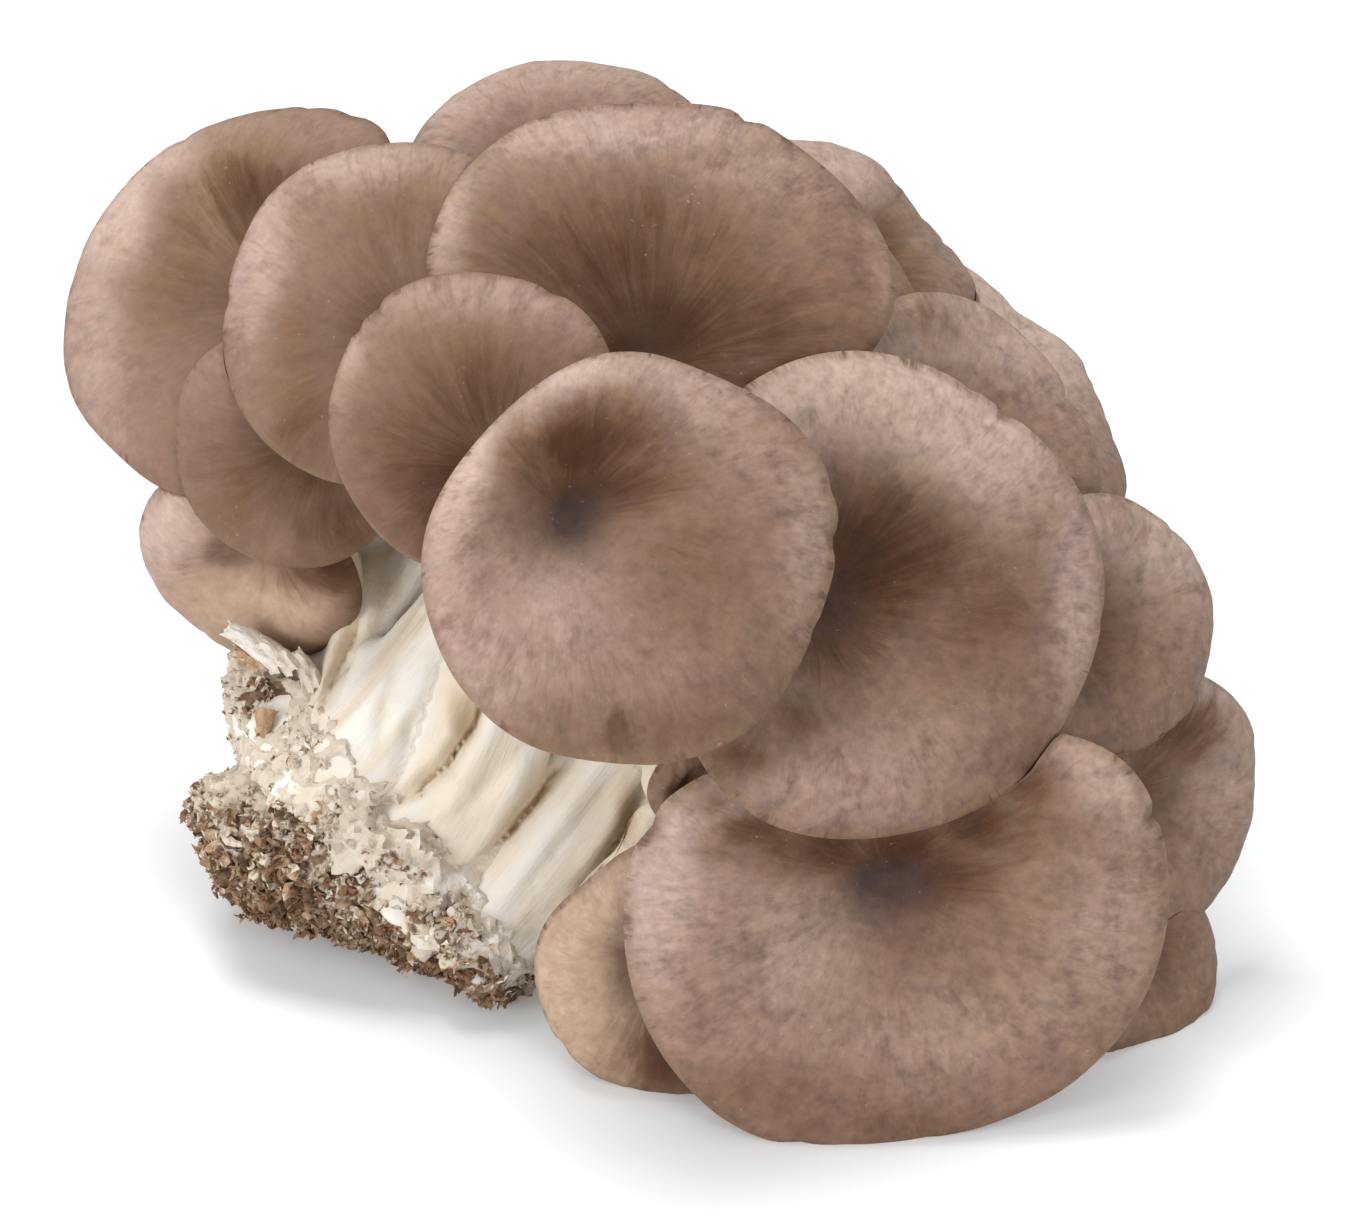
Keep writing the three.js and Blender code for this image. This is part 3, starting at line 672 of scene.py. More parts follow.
def cap_skin():
    """Satin grey-brown skin with short radial fibres, dark in the funnel and paler towards the rim.

    fibre is (cos, sin, share) of a point's way round and out, times the cap's size and shifted for each cap.
    tone is the share of the way to the rim, how tan the skin is, and how pale: the tan is partly painted shade
    on the side of a cap away from the light, and the pale partly a painted highlight on its rim towards the
    light. mark is the dimple's blue, how dark the skin is there, partly the funnel's darker skin and partly
    painted shade, and how dark the nicks and blots are.
    """
    n, c = Nodes("cap_skin"), colours()
    fibre, here = n.attribute("fibre"), n.here()
    across = n.parts(here)[0]
    share, tan, pale = n.parts(n.attribute("tone"))
    blue, dark, blot = n.parts(n.attribute("mark"))

    clouds, patches = n.noise(here, 60), n.noise(here, 190)
    grains, fine = n.noise(here, 480, 3), n.noise(here, 1100, 3, 0.65)
    inner, middle, outer = (n.noise(fibre, (many, many, 12), 3, 0.5, 0.8) for many in (7, 14, 26))
    dashes = n.mixed(n.span(share, 0.25, 0.45), inner, middle)
    dashes = n.mixed(n.span(share, 0.5, 0.72), dashes, outer)
    dashes = n.mixed(n.span(share, 0.05, 0.25), 0.5, dashes)
    streaks = n.mixed(n.span(share, 0.06, 0.3), 0.5, n.noise(fibre, (8, 8, 4), 5, 0.65, 0.8))
    rimward = n.times(n.span(share, 0.3, 0.9, 0.5, 1.0), n.span(clouds, 0.35, 0.65, 0.6, 1.0))
    rimward = n.times(rimward, n.span(across, -0.1, -0.03, 0.4, 1.0))

    uneven = n.plus(n.about(clouds, 0.8), n.about(streaks, 1.0), n.about(patches, 0.5),
                    n.times(n.about(dashes, 0.4), rimward))
    depth = n.plus(dark, n.times(uneven, 0.85))
    warm = n.plus(tan, n.plus(n.about(clouds, 0.9), n.about(streaks, 0.4)))
    # pale carries a painted highlight on the rims towards the light, and tan painted shade on the side away
    # from it.
    base = n.mix(n.span(n.plus(pale, uneven), 0.0, 1.0, 0.0, 0.9), c.skin, c.skin_pale)
    base = n.mix(n.span(warm, 0.0, 1.0), base, c.skin_tan)
    base = n.mix(n.span(patches, 0.4, 0.75, 0.0, 0.4), base, c.skin_warm)
    base = n.mix(n.times(n.span(dashes, 0.5, 0.25, 0.0, 0.25), rimward), base, c.skin_warm)
    # The dark channel, partly the funnel's darker skin and partly painted shade, darkens the skin towards the
    # funnel colour.
    base = n.mix(n.span(depth, -0.15, 0.75), base, c.skin_deep_and_shade)
    base = n.mix(n.span(depth, 0.45, 1.15), base, c.funnel)
    base = n.mix(n.times(blue, n.span(patches, 0.3, 0.6, 0.6, 1.0)), base, c.dimple)
    edge = n.times(n.span(share, 0.94, 1.0), n.span(dashes, 0.4, 0.6, 0.15, 0.7))
    base = n.mix(edge, base, c.skin_warm)
    frayed = n.span(n.noise(fibre, (12, 12, 3), 3, 0.7, 0.5), 0.55, 0.66)
    base = n.mix(n.times(n.times(n.span(share, 0.95, 0.985), frayed), 0.75), base, c.blot)
    base = n.mix(n.times(blot, n.span(dashes, 0.3, 0.6, 1.1, 0.9), True), base, c.blot)
    hues = n.noise(here, 38, 3, 0.55)
    base = n.mix(n.span(hues, 0.45, 0.68, 0.0, 0.3), base, c.skin_mauve, "SOFT_LIGHT")
    base = n.mix(n.span(hues, 0.55, 0.32, 0.0, 0.3), base, c.skin_olive, "SOFT_LIGHT")
    motes = n.times(n.span(n.noise(here, 1000, 1, 0.5), 0.72, 0.8), n.span(clouds, 0.4, 0.6))
    base = n.mix(n.times(motes, 0.25), base, c.skin_pale)

    blotchy = n.span(across, -0.06, 0.04, 0.6, 1.15)
    shade = n.plus(1.0, n.times(n.about(dashes, 0.45), rimward), n.times(n.about(patches, 1.0), blotchy),
                   n.times(n.about(grains, 0.75), blotchy), n.about(fine, 0.2))
    tint = n.add("ShaderNodeVectorMath", operation="SCALE")
    n.feed(tint.inputs[0], base)
    n.feed(tint.inputs["Scale"], shade)
    n.relief(n.plus(n.times(dashes, 0.5), n.times(patches, 0.7), n.times(grains, 0.25)), 0.0005, 0.5)
    return n.finish(tint.outputs[0], n.span(patches, 0.2, 0.8, 0.5, 0.66), 0.13)


def gill_flesh():
    """Cream gills, darker between them. fold is (depth, share of the way out, 0)."""
    n, c = Nodes("gill_flesh"), colours()
    depth, share, _ = n.parts(n.attribute("fold"))
    here = n.here()
    mottle = n.noise(here, 120)
    # Painted shade: the valleys between the gills are painted darker.
    base = n.mix(n.span(depth, 0.0, 0.85), c.gill_valley_shade, c.gill)
    base = n.mix(n.span(mottle, 0.35, 0.75, 0.0, 0.35), base, c.stem_warm_and_cleft_shade)
    base = n.mix(n.times(n.span(share, 0.1, -0.4), 0.8), base, c.stem)
    n.relief(n.noise(here, 700, 3), 0.0002, 0.4)
    return n.finish(base, n.span(mottle, 0.3, 0.7, 0.55, 0.7), 0.3)


def stem_flesh():
    """Fibrous white flesh with yellow-tan streaks.

    fibre runs along each stem, in millimetres. tone is how far a point lies in a cleft, beside a deep one or in
    a fold's hollow, all painted as shade, and how yellowed it is, partly yellowed flesh and partly painted
    shade.
    """
    n, c = Nodes("stem_flesh"), colours()
    fibre = n.attribute("fibre")
    deep, _, _ = n.parts(n.attribute("tone"))
    strands = n.noise(fibre, (1.3, 1.3, 0.12), 5, 0.65, 0.3)
    bands = n.noise(fibre, (0.22, 0.22, 0.025), 3, 0.5, 0.3)
    clouds = n.noise(n.here(), 60)
    warm = n.times(n.span(bands, 0.45, 0.7), n.span(clouds, 0.3, 0.6))
    base = n.mix(n.times(warm, 0.55), c.stem, c.stem_warm_and_cleft_shade)
    base = n.mix(n.span(strands, 0.55, 0.8, 0.0, 0.18), base, c.stem_warm_and_cleft_shade)
    # Painted shade in and beside the clefts and in the folds' hollows, and the yellowed marks, partly painted
    # shade.
    base = n.mix(n.times(deep, 1.2, True), base, c.stem_warm_and_cleft_shade)
    base = n.mix(n.span(deep, 0.5, 1.0, 0.0, 0.85), base, c.stem_cleft_shade)
    stained = n.times(n.span(clouds, 0.6, 0.78), n.span(strands, 0.4, 0.6))
    base = n.mix(n.times(stained, 0.4), base, c.stain)
    n.relief(n.plus(strands, n.times(bands, 1.5)), 0.0005, 0.45)
    return n.finish(base, n.span(strands, 0.2, 0.8, 0.42, 0.6), 0.35)


def growing_medium():
    """Sawdust held together by white threads. tone is (whiteness, a draw for each chip, how deep it lies)."""
    n, c = Nodes("growing_medium"), colours()
    white, draw, deep = n.parts(n.attribute("tone"))
    here = n.here()
    rough, crumbs = n.noise(here, 700, 5, 0.65), n.noise(here, 220, 5, 0.65)
    threads = n.noise(here, 420, 4, 0.7, 1.5)
    wood = n.mix(draw, c.chip_dark, c.chip_light)
    wood = n.mix(n.span(rough, 0.42, 0.7, 0.0, 0.45), wood, c.chip_dark)
    # Painted shade: the crust goes near black in its pits, in the hole and where it faces down.
    wood = n.mix(n.times(deep, n.span(rough, 0.3, 0.7, 1.0, 0.5)), wood, c.chip_hollow_shade)
    grown = n.plus(white, n.about(crumbs, 1.3), n.about(threads, 1.3))
    base = n.mix(n.span(grown, 0.3, 0.62), wood, c.mycelium)
    base = n.mix(n.span(grown, 1.35, 2.0), base, c.stem)
    base = n.mix(n.span(crumbs, 0.45, 0.7, 0.0, 0.35), base, c.stem_warm_and_cleft_shade)
    specks = n.times(n.span(rough, 0.56, 0.62), n.span(n.noise(here, 70, 3, 0.5), 0.5, 0.6))
    base = n.mix(n.times(specks, n.span(grown, 1.35, 0.9)), base, c.chip_dark)
    n.relief(n.plus(rough, crumbs), 0.0007, 0.7)
    return n.finish(base, n.span(rough, 0.3, 0.7, 0.7, 0.92), 0.2)


def table_top():
    """Plain white table, lit a little from below, and very slightly uneven in tone."""
    n, c = Nodes("table_top"), colours()
    n.feed(n.shader.inputs["Emission Color"], c.table_glow)
    n.feed(n.shader.inputs["Emission Strength"], 0.1)
    return n.finish(n.mix(n.noise(n.here(), 3, 2, 0.5), c.table, c.table_pale), 0.9, 0.1)


# ---- Caps ----

LARGE_CAP = 27                # half width from which a cap is modelled with more points
SWELL, PLEAT = 0.55, 0.28     # height of the skin's broad unevenness, and of its radial pleats
NICK_DROP = 12                # how far the skin beside a nick hangs, times the share of the rim it takes
NICKS = {"right": 9, "right_low": 8, "right_back": 12, "upper_right": 9, "top_right": 9}
FEW_NICKS = 4                 # in the rim of every other cap
PAINTED_LIGHT_FROM = (-0.4, 0.92)       # the way, across and up, from which light is painted onto the caps: their rims that way get a painted highlight
SHADED_DARK, SHADED_TAN = 0.32, 0.12         # how much darker and tanner a cap is painted on its other side, as painted shade


def disc_profile(top_rings, rim_rings, under_rings):
    """A disc's section: (share of the way to the rim, 1 above to -1 below), from the top pole to the bottom."""
    edge = 0.955              # where the rim's roundness begins
    top = [(edge * (k / top_rings) ** 0.9, 1.0) for k in range(top_rings)]
    rim = [(edge + (1 - edge) * math.sin(math.pi * k / rim_rings), math.cos(math.pi * k / rim_rings))
           for k in range(rim_rings + 1)]
    under = [(edge * k / under_rings, -1.0) for k in range(under_rings - 1, -1, -1)]
    return top + rim + under


def nicks_of(m):
    """Angles, widths and depths of the small tears in a cap's rim."""
    draw = np.random.RandomState(int(10 * PHASE[m.name]) + 3)
    return [(draw.uniform(-math.pi, math.pi), draw.uniform(0.025, 0.07), draw.uniform(0.004, 0.024))
            for _ in range(NICKS.get(m.name, FEW_NICKS))]


def model_cap(m, unit):
    """One cap: the unit disc drawn over the cap's own formulas, with a soft unevenness."""
    obj = copied(unit, m.name + "_cap")
    s, angle, side = polar(obj)
    round_way = np.column_stack((np.cos(angle), np.sin(angle)))
    shift = PHASE[m.name] * 3.1

    swell = grain(np.column_stack((round_way * s[:, None] * 2.2, np.full(len(s), shift))), 2)
    pleat = grain(np.column_stack((round_way * 7.0, s * 1.3 + shift)), 2)
    uneven = SWELL * swell * smooth(0.08, 0.3, s) + PLEAT * pleat * smooth(0.35, 0.9, s)

    nick = np.zeros(len(s))
    for at, wide, deep in nicks_of(m):
        nick += deep * np.exp(-((wrapped(angle - at) / wide) ** 2))
    nick_here = nick * smooth(0.86, 1.0, s)

    height = face_height(m, s, angle) + uneven - 0.5 * (1 - side) * flesh_at(s)
    points = head_points(m, s * (1 - nick_here), angle, height - NICK_DROP * nick_here)
    set_points(obj.data, kept_in_box(placed(points)))

    def marks(kind, crisp=1):
        return marks_at(kind.get(m.name, ()), points, crisp)

    under = 1.0 * (side < -0.5)
    large = sum(m.half) / 70
    set_vectors(obj.data, "fibre", np.column_stack((round_way, s)) * large + [0, 0, shift])
    # The rim towards the light is painted paler as a painted highlight, and the side away from it darker and
    # tanner as painted shade.
    lit = points_to(points - middle_of(m), PAINTED_LIGHT_FROM)
    pale = 0.4 * (m.pale - 0.5) + m.pale * 0.75 * smooth(-0.2, 0.9, lit) * smooth(0.35, 1.0, s)
    pale += marks(PALES_AND_PAINTED_LIGHT)
    shaded = smooth(0.0, 1.0, -lit) * smooth(0.5, 1.0, s)
    tan = np.maximum(m.tan + SHADED_TAN * shaded + marks(TANS), under)
    set_vectors(obj.data, "tone", np.column_stack((s, tan, pale)))
    # Darkness: partly the funnel's darker skin, partly painted shade on the side away from the light and under
    # the rims of caps in front.
    dark = m.dark * np.exp(-((s / 0.5) ** 2)) + SHADED_DARK * shaded
    dark = np.maximum(dark, marks(DARKS_AND_PAINTED_SHADE)) - 0.6 * marks(PALES_AND_PAINTED_LIGHT)
    dark = np.maximum(dark, 0) * (1 - under)
    nicked = smooth(0.004, 0.02, nick) * smooth(0.93, 1.0, s) * 0.6
    blue = m.blue * 0.85 * smooth(0.24, 0.02, s)
    set_vectors(obj.data, "mark", np.column_stack((blue, dark, np.maximum(nicked, marks(BLOTS, 3)))))
    return obj


def points_to(points, way):
    """How squarely each point lies that way from nought, across and up: 1 straight that way, -1 away."""
    return points[:, :2] @ np.array(way) / np.maximum(np.hypot(points[:, 0], points[:, 1]), 1e-6)


# Marks on the skin of each cap: where in the growth frame's x and y, their radii the same ways, and their
# strength. Nicks and blots; paler places, partly paler skin and partly painted light on rims; darker places,
# partly darker skin and partly painted shade under the rims of the caps in front and in the funnels; and places
# turned tan.
BLOTS = {
    "front": [(-8.9, -18.6, 1.9, 3.8, 1.1), (-8.7, -20.8, 2.9, 2.3, 1.1), (-1, -19, 1.7, 3, 0.6),
        (-17.5, -16.5, 1.8, 3.4, 0.4)],
    "front_low": [(51, -59.5, 2.6, 1.8, 0.35), (31.5, -68, 1.6, 1.2, 0.25)],
    "left": [(-61.5, 9.5, 1.8, 1.4, 0.5)],
    "left_low": [(-76, 10.5, 4.5, 2.8, 0.7)],
}
# Paler places: partly paler skin and partly painted light.
PALES_AND_PAINTED_LIGHT = {
    "front": [(16, 25, 8, 10, 0.2), (-31, -8, 13, 13, 0.4), (-33, 28, 4.5, 9, 0.5),
        (-21, 40, 10, 3.5, 0.45), (10, 34, 14, 8, 0.2), (-38, 5, 9, 24, 0.35), (-21, 0.5, 15, 15, 0.35),
        (22, 12, 6, 20, 0.3)],
    "front_left": [(-54, 48, 4, 12, 0.35), (-28, 52, 24, 5, 0.2)],
    "front_right": [(25, -28, 26, 11, 0.28), (53.5, 27, 18, 12, 0.45), (25.5, -11, 11, 9, 0.2),
        (67, 3, 5, 24, 0.45), (63.5, 33, 6, 8, 0.4)],
    "front_low": [(75, -30, 9, 10, 0.4), (44, -66, 30, 14, 0.2), (72, -50, 14, 20, 0.25),
        (22.5, -55.5, 14, 12, 0.45), (-3, -44, 6, 18, 0.5)],
    "top_front": [(-38, 66, 5, 14, 0.45), (36, 56, 5, 16, 0.35), (14.5, 73, 18, 8, 0.2),
        (-12, 81, 26, 5, 0.4)],
    "upper_left": [(-70, 65, 7, 22, 0.5), (-57, 77, 16, 6, 0.5)],
    "far_left": [(-100, 44, 9, 26, 0.45), (-97, 70, 8, 12, 0.75), (-91, 79, 9, 6, 0.5)],
    "left_low": [(-85, 13, 9, 11, 0.45), (-72, 0, 14, 8, 0.3)],
    "right": [(81.5, 10.5, 12, 12, 0.35)],
    "low_left": [(-19, -50, 8, 12, 0.5), (-21, -60, 7, 14, 0.9)],
    "right_back": [(66, 48, 8, 16, 0.6)],
    "right_low": [(92, -21, 8, 16, 0.35)],
}
# Darker places: partly darker skin and partly painted shade under the rims of the caps in front and in the
# funnels.
DARKS_AND_PAINTED_SHADE = {
    "front": [(-15, 26.5, 8, 6, 1.3), (2, 8, 20, 16, 0.48), (-11, 28, 12, 8.5, 0.95),
        (-12, 16, 19, 14, 0.45), (-10.5, 21, 14, 7.5, 1), (-23.5, 25, 8, 7, 0.75),
        (3, -18.5, 20, 6, 0.42)],
    "front_left": [(-37, 18, 12, 15, 1.05), (-48, 30, 8, 11, 0.55), (-42, 25, 13, 17, 0.8),
        (-32, 36, 19, 13, 0.7)],
    "front_right": [(3, -27.5, 8, 4.5, 0.9), (14, -32.5, 9, 3.2, 0.5), (26, -36.5, 9, 3.4, 0.6),
        (38, -36.5, 9, 3.4, 0.6), (49, -33, 9, 3.6, 0.55), (60, -25.5, 6, 5, 0.6),
        (11, -23.5, 8, 4.5, 0.8), (20, -17, 6, 5, 0.6), (8, -25.5, 12, 6, 0.6), (49, 1, 16, 16, 0.6),
        (32, 10, 19, 14, 1.1), (27, 0, 12, 16, 0.85), (47, 4, 16, 14, 0.45), (14.5, -21.5, 12, 6, 0.5)],
    "front_low": [(39, -41, 7, 6, 1.3), (62, -46, 10, 9, 0.4), (4.5, -31.5, 8, 3.5, 0.4),
        (14.5, -36, 9, 4, 0.75), (26, -38.5, 10, 5.5, 1.1), (38, -38.5, 10, 6, 1.15),
        (49.5, -35, 10, 5.5, 1), (59, -28.5, 6, 6, 0.85), (25, -38, 16, 7, 0.85), (43, -43, 13, 8, 1.05),
        (38, -40, 15, 9, 0.95), (42, -52, 32, 18, 0.45), (19.5, -37.5, 18, 6, 0.6),
        (54, -35.5, 20, 9, 0.65), (44, -36.5, 12, 8, 0.75), (17.5, -80, 26, 7, 0.45),
        (37.5, -85, 28, 6, 0.5)],
    "top_front": [(0, 76, 22, 6, 0.25), (4, 46, 33, 17, 0.93), (-8, 44, 9, 6, 1.1),
        (-12, 60, 32, 14, 0.8)],
    "upper_left": [(-62, 30, 8, 12, 0.65), (-63, 42, 8, 17, 0.5), (-40, 42, 20, 20, 0.65),
        (-45, 64, 12, 14, 0.45)],
    "left": [(-68, 36, 8, 8, 0.55), (-56, 16, 10, 9, 0.9), (-55, 22, 15, 15, 0.75),
        (-69, 24, 15, 14, 0.65)],
    "far_left": [(-87, 62, 8, 10, 0.45), (-72, 71.5, 12, 10, 0.85), (-84, 57, 12, 15, 0.45),
        (-64, 56, 20, 26, 0.6), (-79, 67, 20, 14, 0.5), (-89, 55, 13, 15, 0.4)],
    "left_low": [(-60, 8, 10, 6, 1)],
    "right": [(76, 12, 7, 9, 0.45), (70, -1, 12, 18, 0.6)],
    "upper_right": [(44, 32, 14, 10, 0.35), (43, 49, 10, 6, 0.4)],
    "low_left": [(-1, -76, 8, 10, 0.8), (-2, -46, 7, 8, 0.35), (-2, -74.5, 12, 9, 0.5)],
    "top_right": [(39.5, 57.5, 7, 7, 0.6), (36, 62, 6, 9, 0.7), (39, 69, 6, 12, 0.4)],
    "right_low": [(86, -20, 11, 8, 1), (80, -26, 9, 12, 0.7)],
    "foot_right": [(82, -56, 7, 9, 0.5)],
}
TANS = {
    "front_right": [(42, 22, 24, 14, 0.3)],
    "front_low": [(40, -58, 34, 16, 0.15)],
    "far_left": [(-74, 70, 12, 13, 0.7)],
    "left_low": [(-69, 2.5, 13, 8, 0.9)],
}


def marks_at(marks, points, crisp=1):
    """How strong the marks are at each point: fading slowly from their middles, or over a crisper edge."""
    strength = np.zeros(len(points))
    for x, y, wide, high, most in marks:
        off = (points[:, :2] - (x, y)) / (wide, high)
        strength = np.maximum(strength, most * np.exp(-(off ** 2).sum(1) ** crisp))
    return strength


def model_rooms():
    """The room that each mushroom's head takes from whatever lies behind it."""
    face, rim, under, neck = 1.0, -1.0, -2.0, -3.0
    profile = [(s, face) for s in (0, 0.12, 0.24, 0.4, 0.55, 0.7, 0.8, 0.9, 0.96, 1.0)] + [(1.0, rim)]
    profile += [(t, under) for t in (0.9, 0.75, 0.58, 0.4, 0.2, 0.05)] + [(0.5, neck), (0.0, neck)]
    unit = spun("unit_room", profile, 72)
    r, angle, layer = polar(unit)
    depth = sizes().gill_depth / MM
    rooms = {}
    for m in MUSHROOMS:
        edge = face_height(m, np.ones_like(r), angle) - sizes().rim / MM - CLEAR
        upper = head_points(m, r, angle, face_height(m, r, angle) + CLEAR, CLEAR)
        edge = head_points(m, r, angle, edge, CLEAR)
        lower = under_points(m, r, angle, depth + CLEAR, CLEAR)
        end = neck_points(m, angle, neck_end(m), (m.stem + CLEAR) * (r > 0.1))
        layers = [np.abs(layer - at)[:, None] < 0.1 for at in (face, rim, under)]
        points = np.select(layers, [upper, edge, lower], end)
        rooms[m.name] = copied(unit, "room_" + m.name)
        set_points(rooms[m.name].data, placed(points))
    discard(unit)
    return rooms


class CLUSTER_OT_caps(bpy.types.Operator):
    """Model the skin and flesh of every cap"""
    bl_idname = "cluster.caps"
    bl_label = "Caps"

    def execute(self, context):
        rooms = model_rooms()
        skin = cap_skin()
        large = spun("unit_cap_large", disc_profile(30, 6, 8), 144)
        small = spun("unit_cap_small", disc_profile(22, 5, 6), 96)
        in_front = []
        for m in MUSHROOMS:
            cap = model_cap(m, large if max(m.half) > LARGE_CAP else small)
            cut(cap, in_front)
            finish_piece(cap, "cap_" + m.name, skin)
            in_front.append(rooms[m.name])
        discard(large, small, *rooms.values())
        return {"FINISHED"}


# ---- Gills ----

GILL_STATIONS = (0.97, 0.93, 0.88, 0.82, 0.75, 0.67, 0.58, 0.49, 0.4, 0.32, 0.24, 0.17, 0.11, 0.06, 0.01)
HALF_GILL, SHORT_GILL = 0.3, 0.58            # how far out the gills between the full ones begin
WEB_REACH = 0.93              # share of the way to the rim that the gills' web reaches under the cap
SLEEVE = 5.0                  # how far the last of the gills runs down past the neck's end


def gill_fan(name, count):
    """A unit fan of gills, with two points round for each gill.

    Height 1 is the upper face, 0 the gilled face from the rim to the neck, and below 0 the sleeve on the stem.
    """
    upper = [(s, 1.0) for s in (0.0, 0.3, 0.6, 0.8, WEB_REACH)]
    gilled = [(t, 0.0) for t in GILL_STATIONS]
    sleeve = [(1.0, -0.35), (1.0, -0.7), (1.0, -1.0), (0.0, -1.0)]
    return spun(name, upper + gilled + sleeve, 2 * count)


def model_gills(m, unit, count):
    """One mushroom's gills: full, half and short ones in turn, which run down onto the stem."""
    obj = copied(unit, m.name + "_gills")
    r, angle, layer = polar(obj)
    place = np.rint(angle / (math.pi / count)).astype(int) % (2 * count)
    gill = place // 2
    ridge = place % 2 == 0
    starts = np.select([gill % 4 == 0, gill % 4 == 2], [0.0, HALF_GILL], SHORT_GILL)
    draw = np.random.RandomState(int(10 * PHASE[m.name]) + 5)
    jitter = draw.uniform(0.82, 1.12, count)[gill]
    lean = draw.uniform(-0.25, 0.25, count)[gill] * 2 * math.pi / count
    begin = draw.uniform(-0.05, 0.05, count)[gill]

    grown = smooth(starts - 0.04, starts + 0.14, r + begin) * smooth(0.985, 0.86, r)
    run_out = smooth(0.0, 0.1, r) * 0.35 + 0.65
    depth = np.where(ridge, sizes().gill_depth / MM * jitter * grown * run_out, 0.0)
    wave = 0.35 * np.sin(9 * r + 3 * np.sin(5 * angle)) * math.pi / count
    bent = angle + np.where(ridge, lean, 0) * grown + wave * smooth(0.1, 0.4, r)

    s_upper = np.minimum(r, WEB_REACH)
    flesh_face = face_height(m, s_upper, angle) - flesh_at(s_upper) - 0.1
    upper = head_points(m, s_upper, angle, flesh_face)
    under = under_points(m, np.minimum(r, 0.95), bent, depth)
    sleeve_ridge = np.where(ridge & (gill % 4 == 0), 0.9 * jitter, 0.15) * smooth(-1.0, -0.1, layer)
    swell = m.stem - 0.4 + sleeve_ridge - 1.2 * smooth(-0.6, -1.0, layer)
    sleeve = neck_points(m, angle, neck_end(m) + SLEEVE * layer, swell * (r > 0.5))
    points = np.select([(layer > 0.5)[:, None], (layer > -0.1)[:, None]], [upper, under], sleeve)
    set_points(obj.data, kept_in_box(placed(points)))

    # How far each point stands out of the valleys between the gills; the gill material paints the valleys
    # darker as painted shade.
    shown = depth / (sizes().gill_depth / MM) + np.where(layer < -0.1, 0.6, 0)
    shown = np.where(layer > 0.5, 0.0, shown)
    shown = np.maximum(shown, smooth(0.75, 0.95, r) * 0.55)
    way_out = np.where(layer < -0.1, layer, r)
    set_vectors(obj.data, "fold", np.column_stack((shown, way_out, np.zeros(len(r)))))
    return obj


class CLUSTER_OT_gills(bpy.types.Operator):
    """Model the gills under every cap"""
    bl_idname = "cluster.gills"
    bl_label = "Gills"

    def execute(self, context):
        rooms = model_rooms()
        flesh = gill_flesh()
        fans, in_front = {}, []
        for m in MUSHROOMS:
            around = math.pi * (m.half[0] + m.half[1]) * MM
            count = 4 * max(10, round(around / sizes().gill_pitch / 4))
            if count not in fans:
                fans[count] = gill_fan(f"unit_gills_{count}", count)
            gills = model_gills(m, fans[count], count)
            cut(gills, in_front)
            finish_piece(gills, "gills_" + m.name, flesh, 60)
            in_front.append(rooms[m.name])
        discard(*fans.values(), *rooms.values())
        return {"FINISHED"}


# ---- Stems ----

STEM_STEPS = 40               # rings along a stem, to the end of its neck
NECK_STEPS = 3                # rings beyond it, inside the gills' neck
STEM_SIDES = 28
STEM_BEND = 0.35              # share of its length over which a stem keeps the way it starts and ends
NECK_REACH = 2.5, 8.5         # how far those rings lie past its end
ROOT_SPREAD = 24, 11          # how far from the foot's middle the fan's roots may lie, along it and up
FOLD_HIGH, STRAND_HIGH = 0.7, 0.14           # height of the stems' soft folds and of their strands
STEMS_APART = 37.0            # shift between the fibre patterns of two stems
HIDDEN_BELOW = -45            # growth-frame height under which the stems don't show from the front


def root_out(along):
    """How far out a stem's root lies: less towards both ends of the foot."""
    return 4 - 0.25 * max(0, along - 12) - 0.4 * max(0, -12 - along)


def root_of(m):
    """Where a stem grows out of the foot: where it is told to, or on the fan's line to its cap."""
    if m.foot:
        return by_foot(m.foot[0], root_out(m.foot[0]), m.foot[1])[0]
    to_cap = middle_of(m)[0] - FAN_FROM
    to_foot = FOOT_AT - FAN_FROM
    at = to_cap * (to_foot @ FOOT_OUT) / (to_cap @ FOOT_OUT) - to_foot

    def held(value, most):
        return most * math.tanh(value / most)

    along = held(at @ FOOT_LONG, ROOT_SPREAD[0])
    return by_foot(along, root_out(along), held(at[2], ROOT_SPREAD[1]))[0]


def stem_line(m):
    """Centres, along a curve from the foot to under the cap, with two directions across it and its length."""
    neck = neck_points(m, np.zeros(1), neck_end(m) - GAP, 0.0)[0]
    root = root_of(m)
    reach = STEM_BEND * np.linalg.norm(neck - root)
    down = cap_turn(m) @ np.array([0, 0, -1.0])
    corners = [root, root - FOOT_OUT * reach, neck + down * reach, neck]
    t = np.linspace(0, 1, 200)[:, None]
    shares = (1 - t) ** 3, 3 * t * (1 - t) ** 2, 3 * t * t * (1 - t), t ** 3
    curve = sum(corner * share for corner, share in zip(corners, shares))
    gone = np.concatenate(([0], np.cumsum(np.linalg.norm(np.diff(curve, axis=0), axis=1))))
    along = np.linspace(0, gone[-1], STEM_STEPS + 1)
    centres = np.column_stack([np.interp(along, gone, curve[:, k]) for k in range(3)])
    into_cap = np.linspace(*NECK_REACH, NECK_STEPS)
    centres = np.vstack((centres, neck - down * into_cap[:, None]))
    along = np.concatenate((along, gone[-1] + into_cap))
    tangents = unit_long(np.gradient(centres, along, axis=0))
    first = [np.cross(tangents[0], [0.3, 0.2, 1.0])]
    for tangent in tangents[1:]:
        first.append(first[-1] - tangent * (first[-1] @ tangent))
    first = np.array([v / np.linalg.norm(v) for v in first])
    return centres, tangents, first, np.cross(tangents, first), along, gone[-1]


# Stems that have grown together into broad bundles: how many times as wide as they are thick, at the foot
# and half way up, and how far they stand out over their neighbours.
BUNDLES = {"front_left": (1.25, 1.4, 4.0), "front": (1.35, 1.5, 1.0), "front_right": (1.2, 1.35, 2.0)}


